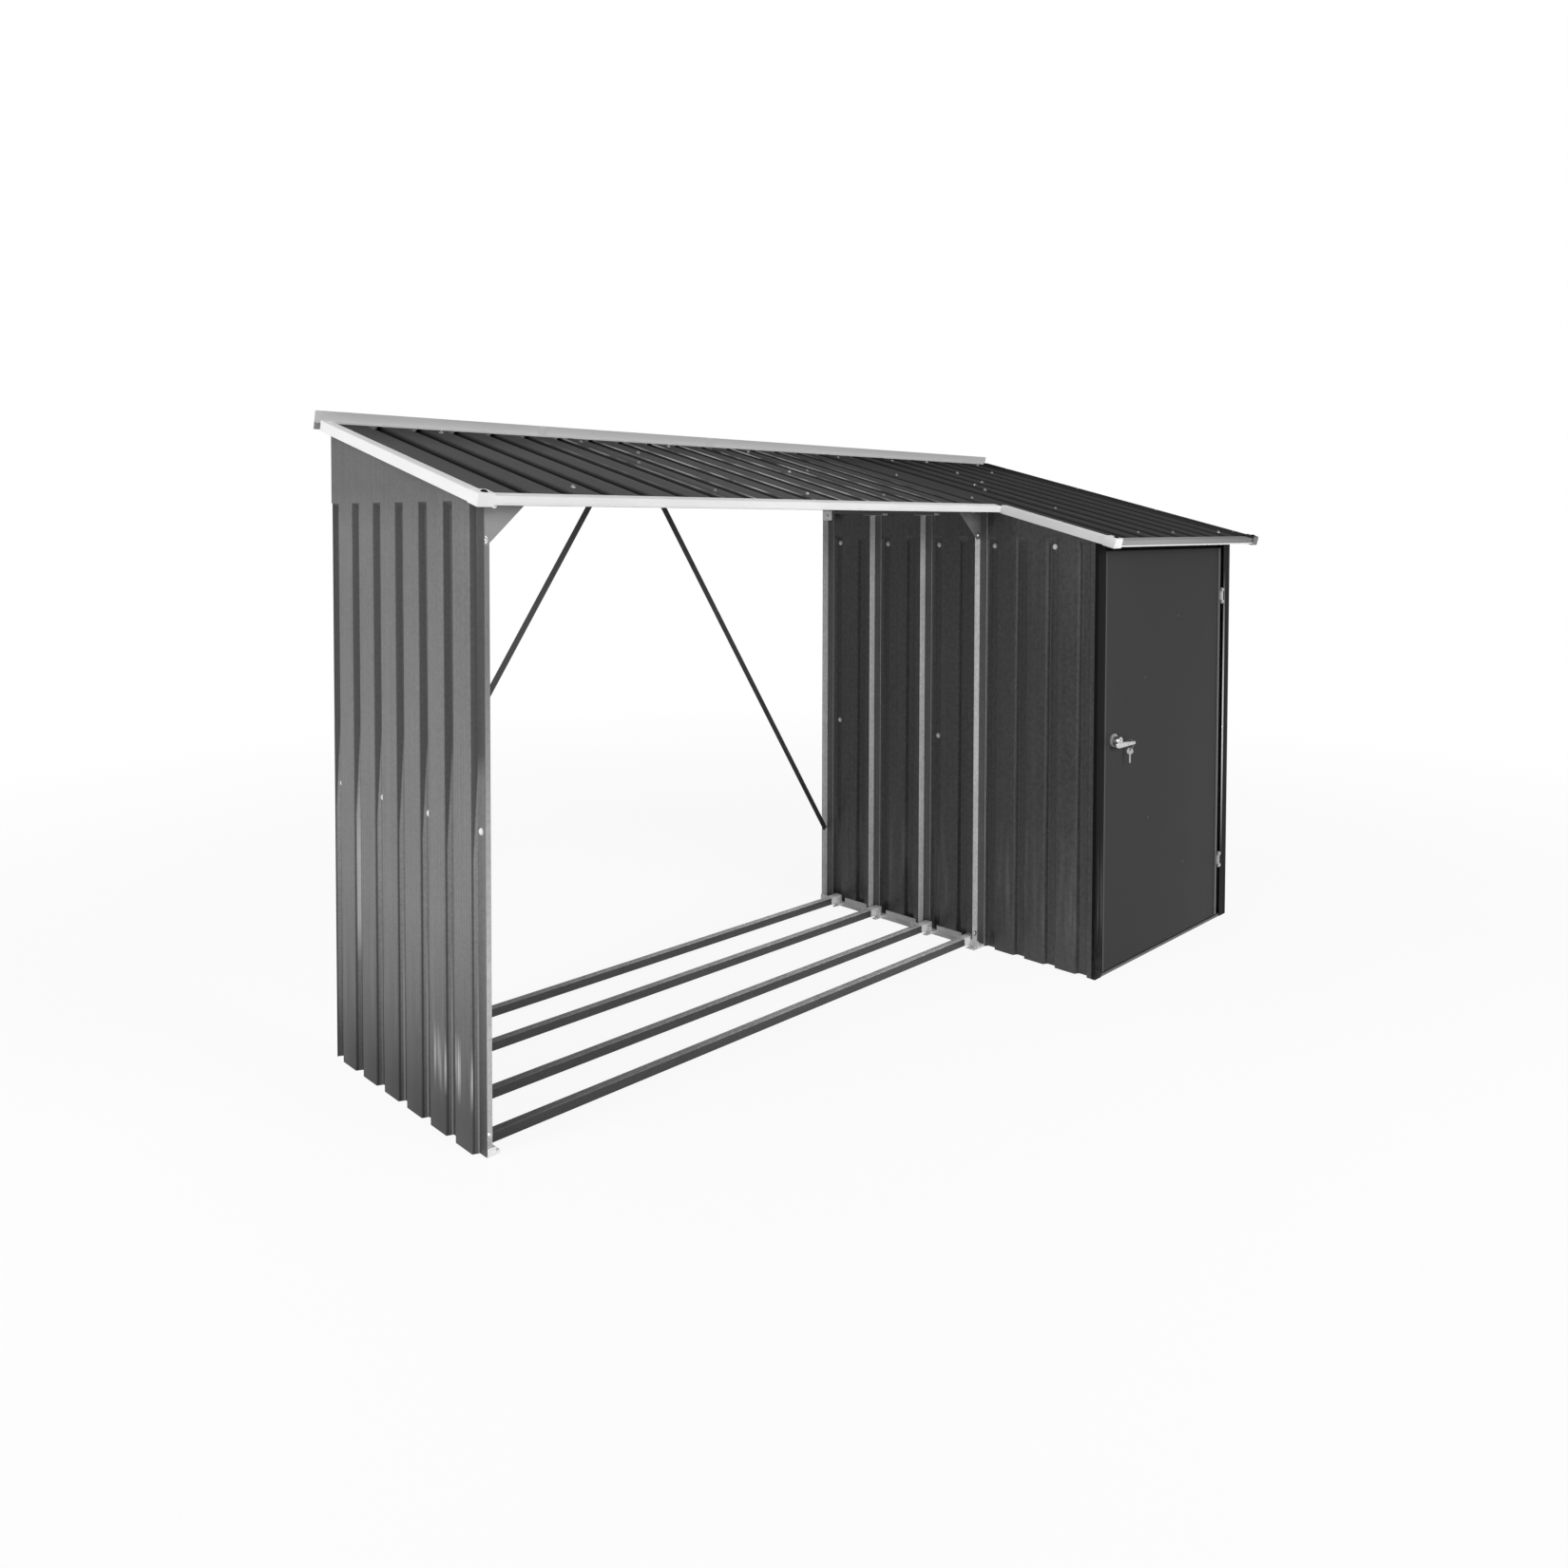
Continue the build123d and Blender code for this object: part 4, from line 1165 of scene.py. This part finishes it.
class LOGSTORE_OT_handle(bpy.types.Operator):
    """Lever handle, its rose and the key that hangs from it"""

    bl_idname = "logstore.handle"
    bl_label = "Handle and key"

    def rose(self):
        rose = disc(40, 0.022, 0.008, 0.004)
        edit(rose)
        choose_top(rose)
        bpy.ops.mesh.inset(thickness=0.0045)
        extrude(0, 0, -0.0026)
        round_rims(rose, 0.0009)
        onto_door(rose, DOOR_FACE)
        rose.name = "rose"
        dress(rose, "hinge_zinc", "door")
        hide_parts("handle_rose")

    def hub(self):
        hub = disc(36, 0.014, 0.0215, 0.01075)
        edit(hub)
        choose_top(hub)
        for rim, sink in ((0.0035, 0.0012), (0.004, 0.002)):
            bpy.ops.mesh.inset(thickness=rim)
            extrude(0, 0, -sink)
        round_rims(hub, 0.0005)
        onto_door(hub, -0.4543)
        return hub

    def grip(self):
        """Tapered grip that droops towards its end"""
        grip = bar(at(2.152, -0.4763, 0.771), at(2.262, -0.4653, 0.793))
        edit(grip)
        choose_faces(grip, lambda centre, normal: normal.x > 0.9)
        bpy.ops.transform.resize(value=(1, 0.85, 0.56))
        bpy.ops.transform.translate(value=(0, 0, -0.0042))
        choose_faces(grip, lambda centre, normal: normal.x < -0.9)
        extrude(-0.0155, 0, 0)
        bpy.ops.transform.resize(value=(1, 0.8, 0.6))
        leave()
        rounding = grip.modifiers.new("rounding", "BEVEL")
        rounding.width = 0.004
        rounding.segments = 4
        rounding.limit_method = "ANGLE"
        take(grip)
        bpy.ops.object.modifier_apply(modifier=rounding.name)
        return grip

    def key(self):
        key = disc(24, 0.011, 0.0022, rotation=(pi / 2, 0, 0))
        settle(key)
        edit(key)
        choose_faces(key, lambda centre, normal: abs(normal.y) > 0.9)
        bpy.ops.mesh.inset(thickness=0.0076, use_individual=True)
        bpy.ops.transform.translate(value=(0, 0, 0.0052))
        bpy.ops.mesh.bridge_edge_loops()
        choose_faces(key, lambda centre, normal: normal.z < -0.97 and centre.z < -0.01)
        extrude(0, 0, -0.026)
        extrude(0, 0, -0.005)
        bpy.ops.transform.resize(value=(0.5, 1, 1))
        bpy.ops.mesh.select_all(action="SELECT")
        bpy.ops.mesh.normals_make_consistent(inside=False)
        leave()
        key.rotation_euler = (0, 0, radians(-48))
        key.location = at(2.230, -0.4708, 0.7518)
        settle(key)
        clear_selection()
        middle = at(2.230, -0.4708, 0.7768)
        bpy.ops.mesh.primitive_torus_add(
            major_radius=0.0156, minor_radius=0.0009, major_segments=32, minor_segments=8,
            location=middle, rotation=(0, pi / 2, 0),
        )
        ring = bpy.context.object
        settle(ring)
        edit(ring, "VERT", "SELECT")
        bpy.ops.transform.resize(value=(1, 0.82, 1), center_override=middle)
        leave()
        dress(join([key, ring], "key"), "hinge_zinc", "handle")

    def execute(self, context):
        self.rose()
        hub = self.hub()
        lever = join([self.grip(), hub], "lever")
        dress(lever, "plated", "handle")
        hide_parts("lever_handle")
        self.key()
        return {"FINISHED"}


# Fixings, made about Z and sunk by half the thickness of their disc


def round_bolt():
    """Domed bolt head on a washer."""
    head, washer = sizes().bolt_head, sizes().washer
    steps = ((0.0022, 0.96), (0.0012, 0.74), (0.0006, 0.4))
    return stepped_head(14, washer, 0.0014, steps, washer - head)


def flat_rivet():
    """Low rivet head."""
    return stepped_head(14, 0.0034, 0.0006, ((0.0004, 0.82), (0.0002, 0.5)))


def pin_head():
    """Domed end of a hinge pin."""
    return stepped_head(16, 0.0052, 0.0016, ((0.0009, 0.84), (0.0007, 0.6), (0.0003, 0.4)))


def hex_screw(radius):
    """Six-sided screw head on a domed washer."""
    washer = stepped_head(12, radius, 0.001, ((0.0008, 0.8),))
    head = stepped_head(6, radius * 0.62, 0.004, ((0.0006, 0.82),), lift=0.0031)
    return join([washer, head], "hex_screw")


class LOGSTORE_OT_wall_bolts(bpy.types.Operator):
    """Round bolts that hold the wall sheets to the posts"""

    bl_idname = "logstore.wall_bolts"
    bl_label = "Wall bolts"

    def execute(self, context):
        middle, high = 0.736, 1.45
        inner, outer = BAY_LENGTH + GROOVE_DEEP, SHED_RIGHT - GROOVE_DEEP
        grooves = SHED_GROOVES[1::2]
        left = [(at(GROOVE_DEEP, y, 0.788), LEFT_SIDE, 0.3 * y) for y in (0.0185, 0.2705, 0.5185, 0.7665)]
        partition = [(at(inner, y, high), LEFT_SIDE, y) for y in grooves]
        partition += [(at(inner, SHED_GROOVES[place], middle), LEFT_SIDE, 0.4) for place in (5, 9)]
        right = [(at(outer, y, z), RIGHT_SIDE, y) for y in grooves for z in (middle, high)]
        fixings(round_bolt(), left, "left_wall_bolts", "bright_zinc")
        fixings(round_bolt(), partition, "partition_bolts", "bright_zinc")
        fixings(round_bolt(), right, "right_wall_bolts", "plated")
        return {"FINISHED"}


class LOGSTORE_OT_roof_screws(bpy.types.Operator):
    """Screws along the roof's seams, beams and edges"""

    bl_idname = "logstore.roof_screws"
    bl_label = "Roof screws"

    def execute(self, context):
        spots = [(seam, y) for seam in (0.793, 1.537, 2.027) for y in (0.05, 0.4, 0.70)]
        spots += [(2.363, y) for y in (-0.42, -0.085, 0.28, 0.70)]
        spots += [(x, 0.72) for x in (0.306, 1.174, 2.62, 2.992)]
        spots += [(x, 0.05) for x in (0.306, 1.174)]
        spots += [(x, -0.42) for x in (2.62, 2.992)]
        spots += [(2.868, 0.554), (2.496, 0.341), (2.310, 0.194), (1.422, 0.373)]
        spots += [(2.558, 0.51), (0.926, 0.573)]
        places = [(on_roof(x, y), ROOF_NORMAL, x) for x, y in spots]
        fixings(hex_screw(sizes().roof_screw), places, "roof_screws", "plated")
        corners = ((-0.0195, BAY_EAVE), (2.0545, SHED_EAVE), (3.1055, SHED_EAVE))
        tops = [(x, eave + 0.010, 0.0227) for x, eave in corners]
        places = [(ROOF_FRAME @ Vector(top), ROOF_NORMAL, 0.3) for top in tops]
        fixings(round_bolt(), places, "cap_screws", "fold")
        tops = [(-0.012, up, 0.020) for up in (0.02, 0.343, 0.66)]
        tops += [(3.098, up, 0.020) for up in (-0.44, -0.1, 0.28, 0.66)] + [(2.062, -0.3, 0.020)]
        places = [(ROOF_FRAME @ Vector(top), ROOF_NORMAL, 0.3) for top in tops]
        fixings(flat_rivet(), places, "verge_rivets", "trim")
        return {"FINISHED"}


# Stage

WHITE = (1, 1, 1, 1)


class LOGSTORE_OT_stage(bpy.types.Operator):
    """Pale floor, white surroundings, soft lamps and the camera"""

    bl_idname = "logstore.stage"
    bl_label = "Stage"

    def floor(self):
        """Floor that keeps a faint shadow, and is darker in reflections near the store"""
        clear_selection()
        bpy.ops.mesh.primitive_circle_add(vertices=96, radius=40, fill_type="NGON", location=(0, 0, -0.0005))
        floor = bpy.context.object
        floor.name = "floor"
        settle(floor)
        material = bpy.data.materials.new("Pale floor")
        material.use_nodes = True
        tree = material.node_tree
        tree.nodes.clear()
        place = tree.nodes.new("ShaderNodeTexCoord").outputs["Object"]
        path = tree.nodes.new("ShaderNodeLightPath").outputs
        x, y, _ = axes(place)
        far = spread(vector_math("LENGTH", place), 2.4, 6.0)
        slant = vector_math("DOT_PRODUCT", place, (1, 1, 0))
        behind = times(spread(y, 0.5, 1.2), spread(slant, -0.8, -0.2))
        beside = window(x, (ORIGIN.x - 0.9, ORIGIN.x - 0.25), (ORIGIN.x, ORIGIN.x + 0.2))
        beside = times(beside, spread(y, ORIGIN.y - 0.1, ORIGIN.y + 0.25))
        mirrored = math("MAXIMUM", path["Is Glossy Ray"], path["Is Transmission Ray"])
        mirrored = times(mirrored, dim(behind, 0.8), dim(beside, 0.9))
        seen = math("MAXIMUM", path["Is Camera Ray"], mirrored)
        share = times(seen, between(far, (0.91, 1.0)))
        matt = add_node("BsdfDiffuse", {"Color": (0.86, 0.86, 0.86, 1)}, tree).outputs[0]
        glow = add_node("Emission", {"Color": WHITE}, tree).outputs[0]
        both = add_node("MixShader", {0: share, 1: matt, 2: glow}).outputs[0]
        add_node("OutputMaterial", {"Surface": both})
        floor.data.materials.append(material)

    def surroundings(self, context):
        """White to the camera, dimmer as light and in reflections"""
        world = bpy.data.worlds.new("Studio")
        context.scene.world = world
        world.use_nodes = True
        tree = world.node_tree
        tree.nodes.clear()
        path = tree.nodes.new("ShaderNodeLightPath").outputs
        way = axes(tree.nodes.new("ShaderNodeTexCoord").outputs["Generated"])
        rear = times(spread(way["Y"], -0.3, 0.5), 0.48)
        glossy = times(path["Is Glossy Ray"], minus(0.6, rear))
        seen = math("MAXIMUM", path["Is Camera Ray"], path["Is Transmission Ray"])
        seen = math("MAXIMUM", seen, glossy)
        strength = between(seen, (0.28, 1.0))
        back = add_node("Background", {"Color": WHITE, "Strength": strength}).outputs[0]
        add_node("OutputWorld", {"Surface": back})

    def lamp(self, name, place, aim, size, power):
        clear_selection()
        bpy.ops.object.light_add(type="AREA", location=place)
        lamp = bpy.context.object
        lamp.name = name
        lamp.data.shape = "RECTANGLE"
        lamp.data.size, lamp.data.size_y = size
        lamp.data.energy = power
        lamp.rotation_euler = (Vector(aim) - Vector(place)).to_track_quat("-Z", "Y").to_euler()

    def camera(self, context):
        stage = context.scene.logstore_stage
        forward = Vector((sin(stage.yaw), cos(stage.yaw), 0))
        right = Vector((cos(stage.yaw), -sin(stage.yaw), 0))
        up = Vector(UP)
        ahead = forward * cos(stage.pitch) + up * sin(stage.pitch)
        over = up * cos(stage.pitch) - forward * sin(stage.pitch)
        across = right * cos(stage.roll) + over * sin(stage.roll)
        upward = over * cos(stage.roll) - right * sin(stage.roll)
        turn = Matrix((across, upward, -ahead)).transposed()
        clear_selection()
        bpy.ops.object.camera_add(location=stage.eye, rotation=turn.to_euler())
        camera = bpy.context.object
        camera.name = "camera"
        camera.data.sensor_width = 36
        camera.data.sensor_fit = "HORIZONTAL"
        camera.data.lens = stage.lens
        camera.data.shift_x = stage.shift_x
        camera.data.shift_y = stage.shift_y
        camera.data.dof.use_dof = False
        context.scene.camera = camera

    def execute(self, context):
        self.floor()
        self.surroundings(context)
        self.lamp("left_softbox", at(-2.6, 0.5, 2.1), at(0, 0.4, 1.1), (0.8, 2.6), 60)
        self.lamp("front_softbox", at(1.9, -5.2, 2.4), at(1.9, -0.4, 0.8), (2.4, 2.6), 172)
        self.lamp("top_softbox", at(1.5, 0.5, 5.0), at(1.5, 0.2, 1.5), (5.0, 3.0), 28)
        context.scene.view_settings.view_transform = "Standard"
        self.camera(context)
        return {"FINISHED"}


class LOGSTORE_PT_panel(bpy.types.Panel):
    """Sizes, colours and pieces of the log store"""

    bl_idname = "LOGSTORE_PT_panel"
    bl_label = "Log store"
    bl_space_type = "VIEW_3D"
    bl_region_type = "UI"
    bl_category = "Log store"

    def draw(self, context):
        layout = self.layout
        for name in SETTINGS:
            settings = getattr(context.scene, name)
            box = layout.box()
            for value in settings.__annotations__:
                box.prop(settings, value)
        for operator in OPERATORS:
            layout.operator(operator.bl_idname)


SETTINGS = {
    "logstore_finishes": LOGSTORE_PG_finishes,
    "logstore_sizes": LOGSTORE_PG_sizes,
    "logstore_stage": LOGSTORE_PG_stage,
}
OPERATORS = (
    LOGSTORE_OT_finishes,
    LOGSTORE_OT_sheets,
    LOGSTORE_OT_edges,
    LOGSTORE_OT_roof_laps,
    LOGSTORE_OT_frame,
    LOGSTORE_OT_clips,
    LOGSTORE_OT_door,
    LOGSTORE_OT_handle,
    LOGSTORE_OT_wall_bolts,
    LOGSTORE_OT_roof_screws,
    LOGSTORE_OT_stage,
)


def register():
    for name, settings in SETTINGS.items():
        bpy.utils.register_class(settings)
        setattr(bpy.types.Scene, name, PointerProperty(type=settings))
    for item in (*OPERATORS, LOGSTORE_PT_panel):
        bpy.utils.register_class(item)


def unregister():
    for item in reversed((*OPERATORS, LOGSTORE_PT_panel)):
        bpy.utils.unregister_class(item)
    for name, settings in SETTINGS.items():
        delattr(bpy.types.Scene, name)
        bpy.utils.unregister_class(settings)


def main():
    register()
    clear_selection()
    bpy.ops.logstore.finishes()
    bpy.ops.logstore.sheets()
    bpy.ops.logstore.edges()
    bpy.ops.logstore.roof_laps()
    bpy.ops.logstore.frame()
    bpy.ops.logstore.clips()
    bpy.ops.logstore.door()
    bpy.ops.logstore.handle()
    bpy.ops.logstore.wall_bolts()
    bpy.ops.logstore.roof_screws()
    bpy.ops.logstore.stage()
    clear_selection()


if __name__ == "__main__":
    main()
